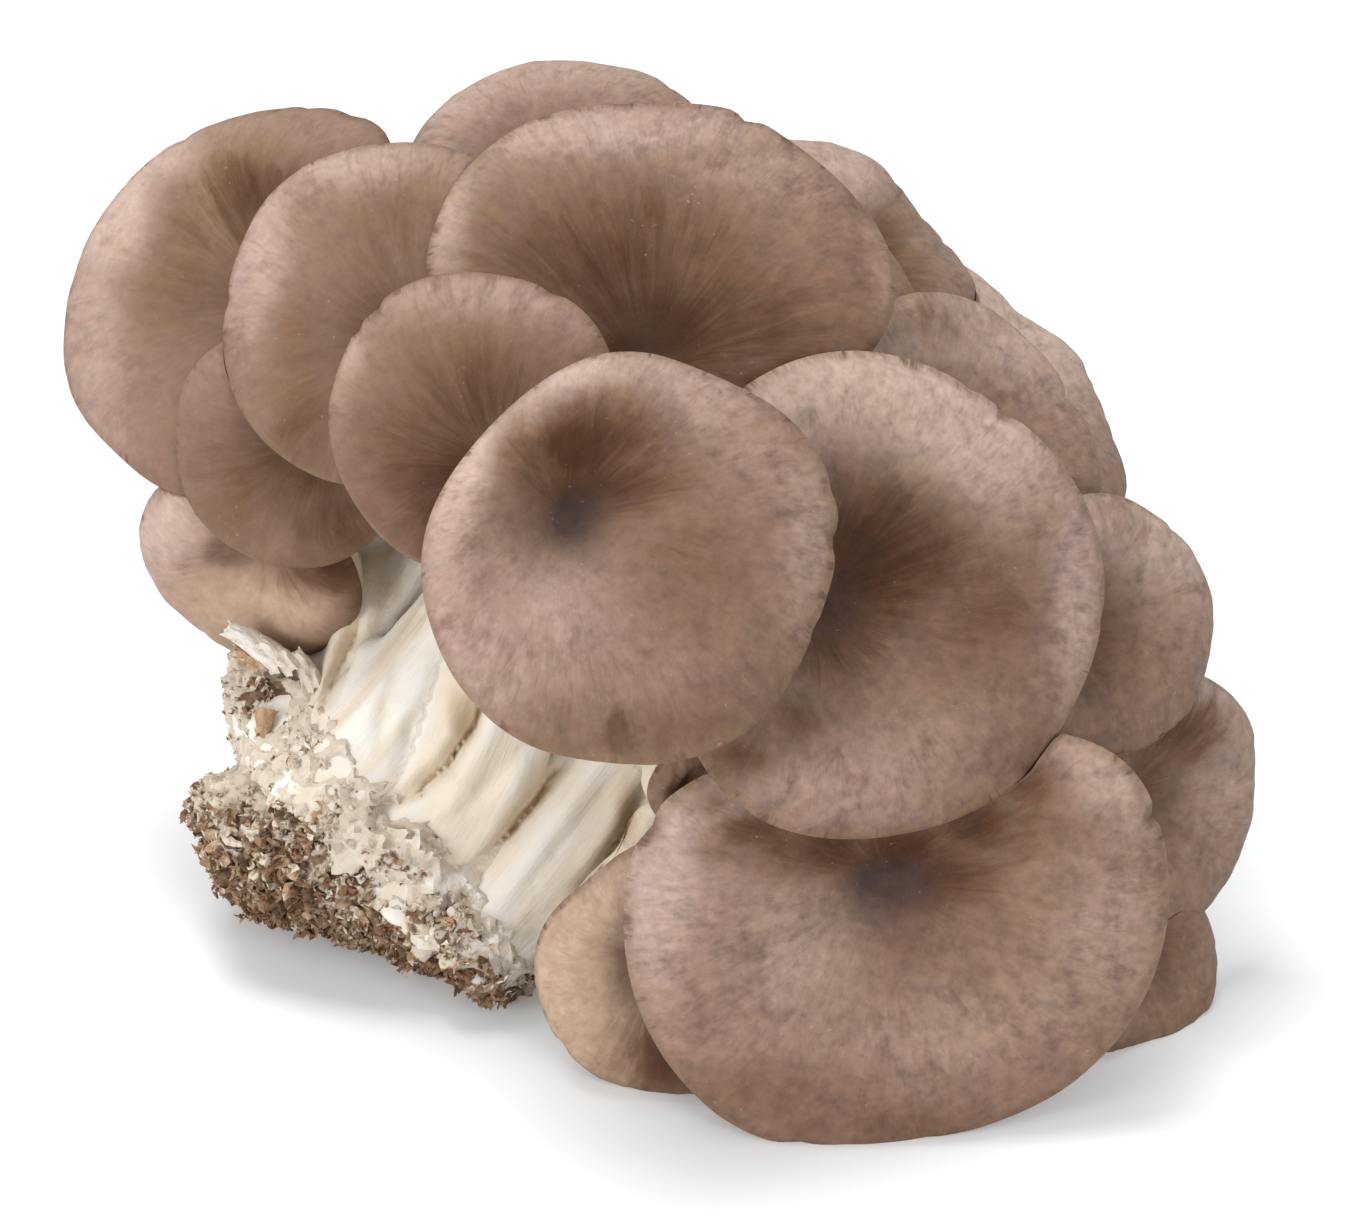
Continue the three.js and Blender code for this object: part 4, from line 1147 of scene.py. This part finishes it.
def model_stem(m, unit):
    """One stem: a tube along its curve, whose section is folded by lengthwise lobes."""
    centres, tangents, first, second, along, total = stem_line(m)
    obj = copied(unit, "stem_" + m.name)
    edge, angle, layer = polar(obj)
    step = np.clip(np.rint(layer * (len(centres) - 1)).astype(int), 0, len(centres) - 1)
    t = np.clip(along[step] / total, 0, 1)
    phase = PHASE[m.name]
    # Few broad lobes and many shallow ones, which wind slowly up the stem.
    lobes = (1 + 0.10 * np.cos(2 * angle + phase + 2.0 * t) + 0.07 * np.cos(3 * angle + 2 * phase - 1.5 * t)
             + 0.05 * np.cos(5 * angle - phase + 3 * t) + 0.04 * np.cos(9 * angle + 2 * phase + 2 * t))
    lobes = 1 + (lobes - 1) * smooth(1.0, 0.75, t)
    radius = m.stem * (1.16 - 0.2 * np.sin(math.pi * t) - 0.16 * t) * lobes * edge
    radius *= 1 - 0.2 * smooth(total, total + 8, along[step])
    wide = np.ones_like(t)
    if m.name in BUNDLES:
        first = unit_long(np.cross(tangents, SEEN_FROM))
        second = np.cross(tangents, first)
        low, middle, raised = BUNDLES[m.name]
        wide = np.interp(t, [0, 0.5, 0.9], [low, middle, 1.0])
        centres = centres + SEEN_FROM * (raised * np.sin(math.pi * np.clip(along / total, 0, 1)))[:, None]
    points = centres[step] + first[step] * (wide * radius * np.cos(angle))[:, None]
    points += second[step] * (radius * np.sin(angle))[:, None]
    set_points(obj.data, placed(points))
    return obj


# Folds along the front of the bundles: the growth frame's x and y of points along them, or their place in
# space, their radius, and how far they stand out.
Fold = namedtuple("Fold", "line radius out")
FOLDS = [
    Fold([(-61, -22), (-58, -10), (-54, 0), (-51, 9)], 2.6, 0.6),
    Fold([(-56, -16), (-50, -4), (-46, 4)], 2.4, -0.2),
    Fold([(-58, -8), (-54, 0), (-51, 8), (-49, 15)], 4.5, 1.8),
    Fold([(-47, -29), (-42, -21), (-37, -15), (-34, -6)], 2.2, 0.6),
    Fold([(-35, -38), (-29, -30), (-22, -20)], 2.2, -0.4),
    Fold([(-22, -54), (-15, -45), (-8, -36), (-3, -30)], 2.4, -0.2),
    Fold([(-20, -58, -30), (-13, -50, -20), (-6, -40, -11), (-1, -31, -6)], 4.6, 1.0),
]


# Clefts between the bundles and along them, seen from the front: points along each in x and y, how deep it
# is, and how high the lip at its left stands.
Cleft = namedtuple("Cleft", "line deep lip")
CLEFTS = [
    Cleft([(-31, -9), (-32, -13), (-34, -18.5), (-38, -25), (-43, -30), (-49, -32)], 4.0, 1.6),
    Cleft([(-17.5, -24), (-20.5, -28), (-26, -35), (-31, -41), (-35, -46)], 3.2, 0.9),
    Cleft([(-52, 4), (-55, -4.5), (-59, -14.5), (-61, -20.5)], 2.2, 0.6),
    Cleft([(-43, 0), (-46, -8), (-48.5, -14.5), (-49.5, -21)], 1.0, 0.5),
    Cleft([(-38, -5), (-40, -12), (-44, -19), (-46, -25)], 1.2, 0.6),
    Cleft([(-24, -20), (-29, -27), (-36, -34), (-42, -38)], 0.8, 0.2),
    Cleft([(-3, -28), (-8, -37), (-13, -44), (-19, -51)], 3.2, 0.8),
    Cleft([(-10, -28), (-16, -36), (-22, -43), (-27, -50)], 0.8, 0.3),
]


# Where the stems are painted yellow, as marks like those on the caps: partly yellowed flesh and partly painted
# shade under the caps and between the bundles.
YELLOWED_AND_SHADED = [(-7.5, -34, 4.5, 11, 0.8), (-11, -44, 5, 9, 0.5), (-13, -32, 8, 5, 0.45),
            (-36, -17, 4, 9, 0.85), (-60, 0, 4, 9, 0.15), (-39.5, -40.5, 2.6, 1.4, 0.85),
            (-43.5, -1, 4, 7, 0.4), (-30, -40, 3, 7, 0.3)]


def clefts_at(points):
    """How far the clefts move each growth-frame point, how deep in or beside a cleft it lies, which is painted
    as shade, and how yellowed it is, which is partly painted shade.
    """
    moved, deep = np.zeros(len(points)), np.zeros(len(points))
    wander = 0.7 * grain(points * 0.15, 2)
    for cleft in CLEFTS:
        line = np.array(cleft.line, float)
        best = np.full(len(points), 1e9)
        side, taper = np.zeros(len(points)), np.zeros(len(points))
        count = len(line) - 1
        for k, (start, end) in enumerate(zip(line, line[1:])):
            way = end - start
            off = points[:, :2] - start
            t = np.clip(off @ way / (way @ way), 0, 1)
            away = off - t[:, None] * way
            far = np.hypot(*away.T)
            near = far < best
            best[near] = far[near]
            side[near] = (way[0] * off[:, 1] - way[1] * off[:, 0])[near]
            taper[near] = np.sin(math.pi * np.clip((k + t[near]) / count, 0.04, 0.96)) ** 0.5
        signed = np.where(side < 0, best, -best) + wander
        groove = np.exp(-((signed / 0.95) ** 2)) * taper
        lip = np.exp(-(((signed - 2.6) / 1.5) ** 2)) * taper
        moved += cleft.lip * lip - cleft.deep * groove
        # A band beside each deep cleft, painted as shade.
        beside = 0.65 * np.exp(-(((signed - 1.5) / 3.2) ** 2)) * taper * (cleft.deep > 2)
        deep = np.maximum(deep, np.maximum(beside, groove * min(1, cleft.deep / 3)))
    return moved, deep, marks_at(YELLOWED_AND_SHADED, points)


ABOVE = 60.0                  # growth-frame height from which a fold is dropped onto the stems


def model_fold(fold, skin, unit, steps=28):
    """A rib that lies along the front of skin, thin at both ends."""
    tree = BVHTree.FromObject(skin, bpy.context.evaluated_depsgraph_get())
    marks = np.array(fold.line, float)
    share = np.linspace(0, len(marks) - 1, steps)
    x, y = (np.interp(share, np.arange(len(marks)), marks[:, k]) for k in range(2))
    x = x + grain(np.column_stack((x * 0.3, y * 0.3, np.zeros(steps))), 2)
    if marks.shape[1] == 3:
        line = np.column_stack((x, y, np.interp(share, np.arange(len(marks)), marks[:, 2])))
    else:
        near, far = (placed(np.column_stack((x, y, np.full(steps, z)))) for z in (ABOVE, -ABOVE))
        hits = [tree.ray_cast(Vector(a), Vector(b - a).normalized())[0] for a, b in zip(near, far)]
        line = unplaced([hit for hit in hits if hit is not None])
    if len(line) < 8:
        return None
    for _ in range(4):
        line[1:-1] = (line[:-2] + 2 * line[1:-1] + line[2:]) / 4
    tangents = unit_long(np.gradient(line, axis=0))
    across = unit_long(np.cross(tangents, SEEN_FROM))
    rise = np.cross(across, tangents)
    obj = copied(unit, "fold")
    edge, angle, layer = polar(obj)
    at = layer * (len(line) - 1)
    low = np.clip(np.floor(at).astype(int), 0, len(line) - 2)
    part = (at - low)[:, None]
    thin = np.sin(math.pi * np.clip(layer * 0.96 + 0.02, 0, 1)) ** 0.6
    centre = line[low] * (1 - part) + line[low + 1] * part + rise[low] * (fold.out - fold.radius * 0.4)
    radius = fold.radius * thin * edge * (1 + 0.15 * np.sin(9 * layer + 4 * fold.radius))
    points = centre + across[low] * (radius * np.cos(angle))[:, None]
    points += rise[low] * (radius * np.sin(angle))[:, None]
    set_points(obj.data, placed(points))
    return obj


def lump_points(unit, half, middle, lumps, skew=0.0):
    """A unit sphere's points as a lumpy ellipsoid beside the foot, skewed so that it stands out at one end."""
    x, y, z = unit.T
    swell = 1 + lumps * (np.sin(5 * x + 3 * y) * np.cos(4 * z) + 0.6 * np.sin(7 * y - 6 * z + 1))
    along, out, up = (c * h * swell + m for c, h, m in zip((x, z, y), half, middle))
    return by_foot(along, out - skew * along, up)


def remeshed(obj, size):
    """One skin round all that obj holds."""
    only(obj)
    obj.data.remesh_voxel_size = size
    obj.data.use_remesh_preserve_volume = False
    obj.data.use_remesh_fix_poles = False
    bpy.ops.object.voxel_remesh()
    return obj


def joined(objs, name):
    """All the objects as one, under that name."""
    only(objs[0])
    for obj in objs:
        obj.select_set(True)
    bpy.ops.object.join()
    objs[0].name = name
    return objs[0]


def soften(obj, rounds):
    """Eases the mesh's corners, that many times over."""
    only(obj)
    ease = obj.modifiers.new("soften", "SMOOTH")
    ease.iterations = rounds
    bpy.ops.object.modifier_apply(modifier="soften")


def lie_of_fibres(points):
    """For each growth-frame point, where it is across and along the stem that is nearest to it."""
    lines = [stem_line(m) for m in MUSHROOMS]
    owner = np.concatenate([np.full(len(line[0]), k) for k, line in enumerate(lines)])
    centres, tangents, first, second = (np.vstack([line[k] for line in lines]) for k in range(4))
    along = np.concatenate([line[4] for line in lines])
    radius = np.array([m.stem for m in MUSHROOMS])[owner]
    best = np.full(len(points), 1e9)
    nearest = np.zeros(len(points), int)
    for k in range(len(centres)):
        far = np.linalg.norm(points - centres[k], axis=1) - radius[k]
        closer = far < best
        best[closer], nearest[closer] = far[closer], k
    off = points - centres[nearest]
    across = np.einsum("ij,ij->i", off, first[nearest])
    other = np.einsum("ij,ij->i", off, second[nearest])
    on = along[nearest] + np.einsum("ij,ij->i", off, tangents[nearest])
    return np.column_stack((across + STEMS_APART * owner[nearest], other, on))


class CLUSTER_OT_stems(bpy.types.Operator):
    """Model the stems and the butt that they have grown into"""
    bl_idname = "cluster.stems"
    bl_label = "Stems"

    def execute(self, context):
        rooms = model_rooms()
        steps = STEM_STEPS + NECK_STEPS
        side = [(1, k / steps) for k in range(steps + 1)]
        unit = spun("unit_stem", [(0, 0)] + side + [(0, 1)], STEM_SIDES)
        stems = []
        for m in MUSHROOMS:
            stem = model_stem(m, unit)
            cut(stem, [room for name, room in rooms.items() if name != m.name])
            stems.append(stem)
        butt = ball(64, 32)
        set_points(butt.data, placed(lump_points(points_of(butt.data), BUTT, BUTT_AT, 0.05)))
        grown = joined([butt, *stems], "grown_stems")
        folds = [model_fold(fold, grown, unit) for fold in FOLDS]
        grown = remeshed(joined([grown, *filter(None, folds)], "grown_stems"), sizes().stem_grain)
        grown = keep_largest(grown)
        soften(grown, 3)

        points = unplaced(points_of(grown.data))
        fibre = lie_of_fibres(points)
        folds = grain(fibre * (0.12, 0.12, 0.022), 2)
        strands = grain(fibre * (0.4, 0.4, 0.05), 2)
        outward = normals_of(grown.data)
        cleft, deep, yellowed_and_shaded = clefts_at(points)
        facing = smooth(0.1, 0.5, (unplaced(points_of(grown.data) + outward * MM) - points) @ SEEN_FROM)
        shown = points[:, 2] > HIDDEN_BELOW
        facing *= shown
        moved = points_of(grown.data) + outward * ((FOLD_HIGH * folds + STRAND_HIGH * strands) * MM)[:, None]
        moved += (placed([SEEN_FROM]) - placed([SEEN_FROM * 0])) * (cleft * facing)[:, None]
        set_points(grown.data, kept_in_box(moved))
        soften(grown, 2)
        # Painted shade in the folds' hollows and in and beside the clefts on the front, and the yellowed marks,
        # partly painted shade.
        hollow = np.maximum(smooth(0.0, -0.4, folds) * 0.45, deep * facing)
        hollow = np.maximum(hollow, yellowed_and_shaded * shown)
        set_vectors(grown.data, "fibre", fibre)
        set_vectors(grown.data, "tone", np.column_stack((hollow, strands, folds)))
        finish_piece(grown, "stems", stem_flesh(), 60)
        discard(unit, *rooms.values())
        return {"FINISHED"}


# ---- Crust ----

KNOB = (8.0, 7.0, 8.0)        # half sizes of the knob at the crust's upper left corner
KNOB_AT = (-28.5, -7.0, 6.0)  # its middle, from the foot's
CRUST_SKEW = 0.58             # how much further out it stands at its upper left end than at its lower right
CRUST_EDGE = -10.5            # how far inward the crust reaches over the stems, from the foot's middle
CHIP_SEED = 11
CHIP_LIFT = 0.0001            # least height of a chip over the table, in metres


def model_chip():
    """A splinter of sawdust, 1 long and 1 wide, pointed at both ends."""
    chip = ball(3, 5, 0.5)
    chip.name = "unit_chip"
    x, y, z = points_of(chip.data).T
    set_points(chip.data, np.column_stack((z, x, 0.35 * y)))
    return chip


def model_shred():
    """A torn flake of white flesh, 1 long and 1 wide."""
    shred = made(bpy.ops.mesh.primitive_cube_add, size=1)
    shred.name = "unit_shred"
    bpy.ops.object.mode_set(mode="EDIT")
    bpy.ops.mesh.select_all(action="SELECT")
    bpy.ops.mesh.subdivide(number_cuts=5)
    bpy.ops.object.mode_set(mode="OBJECT")
    x, y, z = points_of(shred.data).T
    y, z = y * np.sqrt(1 - 2 * z * z), z * np.sqrt(1 - 2 * y * y)
    torn = np.column_stack((x, y * (0.9 - 0.6 * x), z * (0.7 - 0.5 * x)))
    torn += 0.13 * np.column_stack([grain(torn * 3 + shift, 3) for shift in (0, 20, 40)])
    set_points(shred.data, torn)
    return shred


def faces_of(obj):
    return [tuple(p.vertices) for p in obj.data.polygons]


def curled(shape, long, wide, curl, twist, matrix, at):
    """A chip's points: bent along its length, twisted, turned by the matrix and set down."""
    x, y, z = shape.T
    bend = curl * x
    px = np.sin(bend) / curl * long
    pz = (1 - np.cos(bend)) / curl * long + z * wide
    py = y * wide
    turn = twist * x
    py, pz = py * np.cos(turn) - pz * np.sin(turn), py * np.sin(turn) + pz * np.cos(turn)
    points = np.column_stack((px, py, pz)) @ matrix.T + at
    points[:, 2] += max(0.0, CHIP_LIFT - points[:, 2].min())
    return points


# Shreds torn from the top of the knob: where one end is beside the foot's middle, where the other end is,
# and their width, in millimetres, and how white they are.
SHREDS = [
    ((-31.5, -12.0, 13), (-42.0, -9, 17.5), 5.0, 1.8),
    ((-29.0, -13.0, 14), (-36.5, -11.5, 17), 3.8, 1.6),
    ((-32, -9, 12), (-38.5, -7, 14), 3.6, 0.35),
    ((-26.5, -4.5, 13.5), (-23.5, -0.5, 14), 3.2, 0.1),
    ((-24, -13.5, 13), (-31, -15.0, 15.5), 3.6, 1.5),
    ((-33, -6, 9), (-35.5, -1.5, 11), 3.4, 0.7),
]


def scatter_chips(base, unit, shred, count):
    """Chips all over the crust's skin, each with its own size, curl and shade."""
    draw = np.random.RandomState(CHIP_SEED)
    faces = base.data.polygons
    areas, centres, normals = read(faces, "area", 1)[:, 0], read(faces, "center"), read(faces, "normal")
    places = unplaced(centres)
    along, out, _ = beside_foot(places)
    woody = woodiness(along, out, grain(places * 0.16, 3))
    margin = smooth(9.0, 0.0, out - bare_edge_at(along))
    weight = areas * (0.12 + 0.88 * woody) * (out > CRUST_EDGE + 3)
    weight *= 0.1 + smooth(0.0, 0.8, ridges_at(places))
    picks = draw.choice(len(areas), size=count, p=weight / weight.sum())
    shape = points_of(unit.data)
    corners, shades = [], []
    for pick in picks:
        size = (0.3 + 0.9 * draw.uniform() ** 1.8) * (0.4 + 0.6 * woody[pick])
        long, wide = sizes().chip_long * size, sizes().chip_wide * size * draw.uniform(0.6, 1.4)
        normal = Vector(normals[pick])
        facing = (normal + 0.85 * Vector(draw.uniform(-0.9, 0.9, 3))).normalized()
        spin_by = Matrix.Rotation(draw.uniform(0, 2 * math.pi), 3, facing)
        matrix = np.array(spin_by @ facing.to_track_quat("Z", "Y").to_matrix())
        stand = draw.uniform(-0.1, 0.35) * long
        broken = shape * draw.uniform(0.65, 1.35, shape.shape)
        points = curled(broken, long, wide, draw.uniform(1.5, 5.0) * draw.choice((-1, 1)),
                        draw.uniform(-1.5, 1.5), matrix, centres[pick] + np.array(normal) * stand)
        # Painted shade: chips on faces that look down are painted darker and less white.
        below = smooth(0.3, -0.45, normals[pick][2])
        white = draw.uniform(0.4, 0.8) if draw.uniform() < 0.3 else draw.uniform(-0.1, 0.38)
        tips = draw.uniform(0, 0.8) * (1 - 0.5 * below) * np.abs(2 * shape[:, 0]) ** 2
        frosted = white + 0.35 * margin[pick] - 0.8 * below + tips
        wood = np.full(len(shape), draw.uniform(0, 1) * (1 - 0.75 * below))
        corners.append(points)
        shades.append(np.column_stack((frosted, wood, 0 * wood)))
    size = len(shape)
    rings = [tuple(v + k * size for v in face) for k in range(len(corners)) for face in faces_of(unit)]
    torn = points_of(shred.data)
    for end, other, wide, white in SHREDS:
        ends = placed(np.vstack((by_foot(*end), by_foot(*other))))
        reach = Vector(ends[1] - ends[0])
        side = reach.normalized().cross(Vector((0.2, 0.9, 0.4))).normalized()
        matrix = np.array([reach.normalized(), side, reach.normalized().cross(side)]).T
        start = sum(map(len, corners))
        corners.append(curled(torn, reach.length, wide * MM, 0.5, 0.6, matrix, ends.mean(0)))
        shades.append(np.tile((white, 0.8, 0.0), (len(torn), 1)))
        rings += [tuple(v + start for v in face) for face in faces_of(shred)]
    mesh = bpy.data.meshes.new("chips")
    mesh.from_pydata(np.vstack(corners).tolist(), [], rings)
    set_vectors(mesh, "tone", np.vstack(shades))
    chips = bpy.data.objects.new("chips", mesh)
    bpy.context.scene.collection.objects.link(chips)
    return chips


# Where bare sawdust gives way to white threads, along the foot and out from its middle.
BARE_EDGE = [(-26, 14.5), (-19, 11), (-12, 6), (-7, 1), (1, 4.5), (10, 3), (17, -3), (23, -6), (29, -3.5),
             (37, -4)]
PIT = (-28.3, -5.7)           # the pit in the knob
WHITE_SPOT = (21.5, 1.5)      # threads in among the bare sawdust
# Places where the crust is made whitest.
BRIGHT, BRIGHT_SIZE = (22, -7), (12, 5)
BRIGHT_KNOB, BRIGHT_KNOB_SIZE = (-27, -12.5), (6, 4)
# Patches of sawdust in among the white threads: along the foot and out from its middle, half sizes, how thick.
DIRT = [((-5.5, 0.0), (3.0, 6.0), 0.8), ((21.5, -4.5), (4.0, 4.0), 0.9), ((-16.5, -6.0), (2.5, 4.5), 0.7),
        ((8.0, -4.0), (3.0, 3.0), 0.5)]


def bare_edge_at(along):
    """How far out the bare sawdust begins, so far along the foot."""
    return np.interp(along, *zip(*BARE_EDGE))


def woodiness(along, out, coarse):
    """Where bare sawdust shows, 1, and where the white threads have grown over it, 0."""
    woody = smooth(-3.5, 3.0, out - bare_edge_at(along) + 4.5 * coarse)
    white = hill(along, out, WHITE_SPOT, (3.5, 3.0))
    pit = hill(along, out, PIT, (4.5, 4.5))
    dirt = [much * hill(along, out, at, size) for at, size, much in DIRT]
    return np.clip(woody - white + pit + np.max(dirt, axis=0), 0, 1)


def ridges_at(points):
    """Crests, 1, and the pits between them, below 0, over the crust."""
    return 1 - 2.2 * np.abs(grain(points * 0.27 + 20, 3))


class CLUSTER_OT_crust(bpy.types.Operator):
    """Model the crust of sawdust and white threads on the foot"""
    bl_idname = "cluster.crust"
    bl_label = "Crust"

    def execute(self, context):
        lumps = []
        for half, middle, lumpy, skew in ((CRUST, CRUST_AT, 0.06, CRUST_SKEW), (KNOB, KNOB_AT, 0.12, 0)):
            lump = ball(96, 48)
            set_points(lump.data, placed(lump_points(points_of(lump.data), half, middle, lumpy, skew)))
            lumps.append(lump)
        lumps.append(self.foot_of_stems())
        crust = remeshed(joined(lumps, "crust_base"), sizes().crust_grain)
        soften(crust, 2)
        points = unplaced(points_of(crust.data))
        along, out, up = beside_foot(points)
        coarse = grain(points * 0.16, 3)
        fine = grain(points * 0.5 + 40, 3)
        woody = woodiness(along, out, coarse)
        edge = out - CRUST_EDGE + 4.0 * coarse + 2.5 * fine
        sink = smooth(1.5, -2.5, edge)
        outward = unplaced(points_of(crust.data) + normals_of(crust.data) * MM) - points
        clumps = grain(points * 0.28 + 90, 2)
        ridges = ridges_at(points)
        # Millimetres that the skin stands out: rougher where bare sawdust shows.
        grown = 0.15 + (0.7 + 0.6 * woody) * (coarse + 1.2 * fine) + (0.5 + 0.9 * woody) * clumps
        grown += (1 + 0.9 * woody) * (ridges - 0.3)
        hole, in_pit = (hill(along, out, PIT, (wide, wide)) * (up > 4) for wide in (3.4, 5.0))
        moved = points + outward * (grown * (1 - sink) - 2.2 * sink - 5.0 * hole)[:, None]
        set_points(crust.data, kept_in_box(placed(moved)))
        frost = 1 - woody + 0.55 * smooth(0.35, 0.95, ridges)
        # Painted shade: less white and darker where the crust faces down and in the pit, and darker between the
        # ridges.
        below = smooth(0.25, -0.5, normals_of(crust.data)[:, 2])
        frost += 0.12 - 0.5 * below - 1.1 * in_pit
        frost += 0.7 * hill(along, out, BRIGHT, BRIGHT_SIZE)
        frost += 0.7 * hill(along, out, BRIGHT_KNOB, BRIGHT_KNOB_SIZE) * (1 - in_pit)
        deep = np.clip(woody * smooth(0.75, -0.1, ridges) + hole + 0.6 * below, 0, 1)
        set_vectors(crust.data, "tone", np.column_stack((frost, 0.4 + 0.3 * fine, deep)))
        unit, shred = model_chip(), model_shred()
        chips = scatter_chips(crust, unit, shred, sizes().chips)
        crust = joined([crust, chips], "crust_of_medium")
        finish_piece(crust, "crust", growing_medium(), 50)
        discard(unit, shred)
        return {"FINISHED"}

    def foot_of_stems(self):
        """A copy of the stems' lower ends, that the white threads have grown over."""
        foot = copied(bpy.data.objects["grown_stems"], "foot")
        only(foot)
        at, out = (placed(by_foot(0, CRUST_EDGE - 7, 0) + way)[0] for way in (0, FOOT_OUT))
        bpy.ops.object.mode_set(mode="EDIT")
        bpy.ops.mesh.select_all(action="SELECT")
        bpy.ops.mesh.bisect(plane_co=at, plane_no=Vector(out - at).normalized(), use_fill=True,
                            clear_inner=True)
        bpy.ops.object.mode_set(mode="OBJECT")
        foot.data.materials.clear()
        return foot


# ---- Stage ----

def soft_light(name, place, size, power):
    """A square soft box that faces the cluster."""
    light = made(bpy.ops.object.light_add, type="AREA", location=place)
    light.name = name
    light.data.size = size
    light.data.energy = power
    aim = Vector(LIGHTS_AIM) - Vector(place)
    light.rotation_euler = aim.to_track_quat("-Z", "Y").to_euler()
    return light


class CLUSTER_OT_stage(bpy.types.Operator):
    """Set up the white table, the soft light and the camera"""
    bl_idname = "cluster.stage"
    bl_label = "Table, light and camera"

    def execute(self, context):
        scene = context.scene
        table = made(bpy.ops.mesh.primitive_plane_add, size=8)
        table.name = "table"
        table.data.materials.append(table_top())

        world = bpy.data.worlds.new("studio")
        world.use_nodes = True
        sky = world.node_tree.nodes["Background"].inputs
        sky["Color"].default_value = (1, 1, 1, 1)
        sky["Strength"].default_value = WORLD_LIGHT
        scene.world = world
        for light in LIGHTS:
            soft_light(*light)

        target = Vector((CENTRE[0], CENTRE[1], HEIGHT)) * MM
        away = Vector((0, -math.cos(CAMERA_RISE), math.sin(CAMERA_RISE))) * CAMERA_DISTANCE
        bpy.ops.object.camera_add(location=target + away)
        camera = context.object
        camera.name = "camera"
        camera.rotation_euler = Euler((math.pi / 2 - CAMERA_RISE, 0, 0))
        camera.data.sensor_width = SENSOR_WIDTH
        camera.data.lens = SENSOR_WIDTH * PIXELS_PER_MM * CAMERA_DISTANCE / MM / FRAME_WIDTH
        camera.data.clip_start = 0.01
        scene.camera = camera
        scene.view_settings.view_transform = "Standard"
        return {"FINISHED"}


# ---- Panel, registration and the run ----

OPERATORS = (CLUSTER_OT_caps, CLUSTER_OT_gills, CLUSTER_OT_stems, CLUSTER_OT_crust, CLUSTER_OT_stage)


class CLUSTER_PT_panel(bpy.types.Panel):
    """The cluster's pieces, sizes and colours"""
    bl_idname = "CLUSTER_PT_panel"
    bl_label = "Oyster mushroom cluster"
    bl_space_type = "VIEW_3D"
    bl_region_type = "UI"
    bl_category = "Oysters"

    def draw(self, context):
        for operator in OPERATORS:
            self.layout.operator(operator.bl_idname)
        for group in (context.scene.cluster_sizes, context.scene.cluster_colours):
            box = self.layout.box()
            for key in type(group).__annotations__:
                box.prop(group, key)


CLASSES = (ClusterSizes, ClusterColours, *OPERATORS, CLUSTER_PT_panel)


def register():
    for cls in CLASSES:
        bpy.utils.register_class(cls)
    bpy.types.Scene.cluster_sizes = PointerProperty(type=ClusterSizes)
    bpy.types.Scene.cluster_colours = PointerProperty(type=ClusterColours)


def unregister():
    del bpy.types.Scene.cluster_colours
    del bpy.types.Scene.cluster_sizes
    for cls in reversed(CLASSES):
        bpy.utils.unregister_class(cls)


def main():
    register()
    bpy.ops.cluster.stage()
    bpy.ops.cluster.caps()
    bpy.ops.cluster.gills()
    bpy.ops.cluster.stems()
    bpy.ops.cluster.crust()


if __name__ == "__main__":
    main()
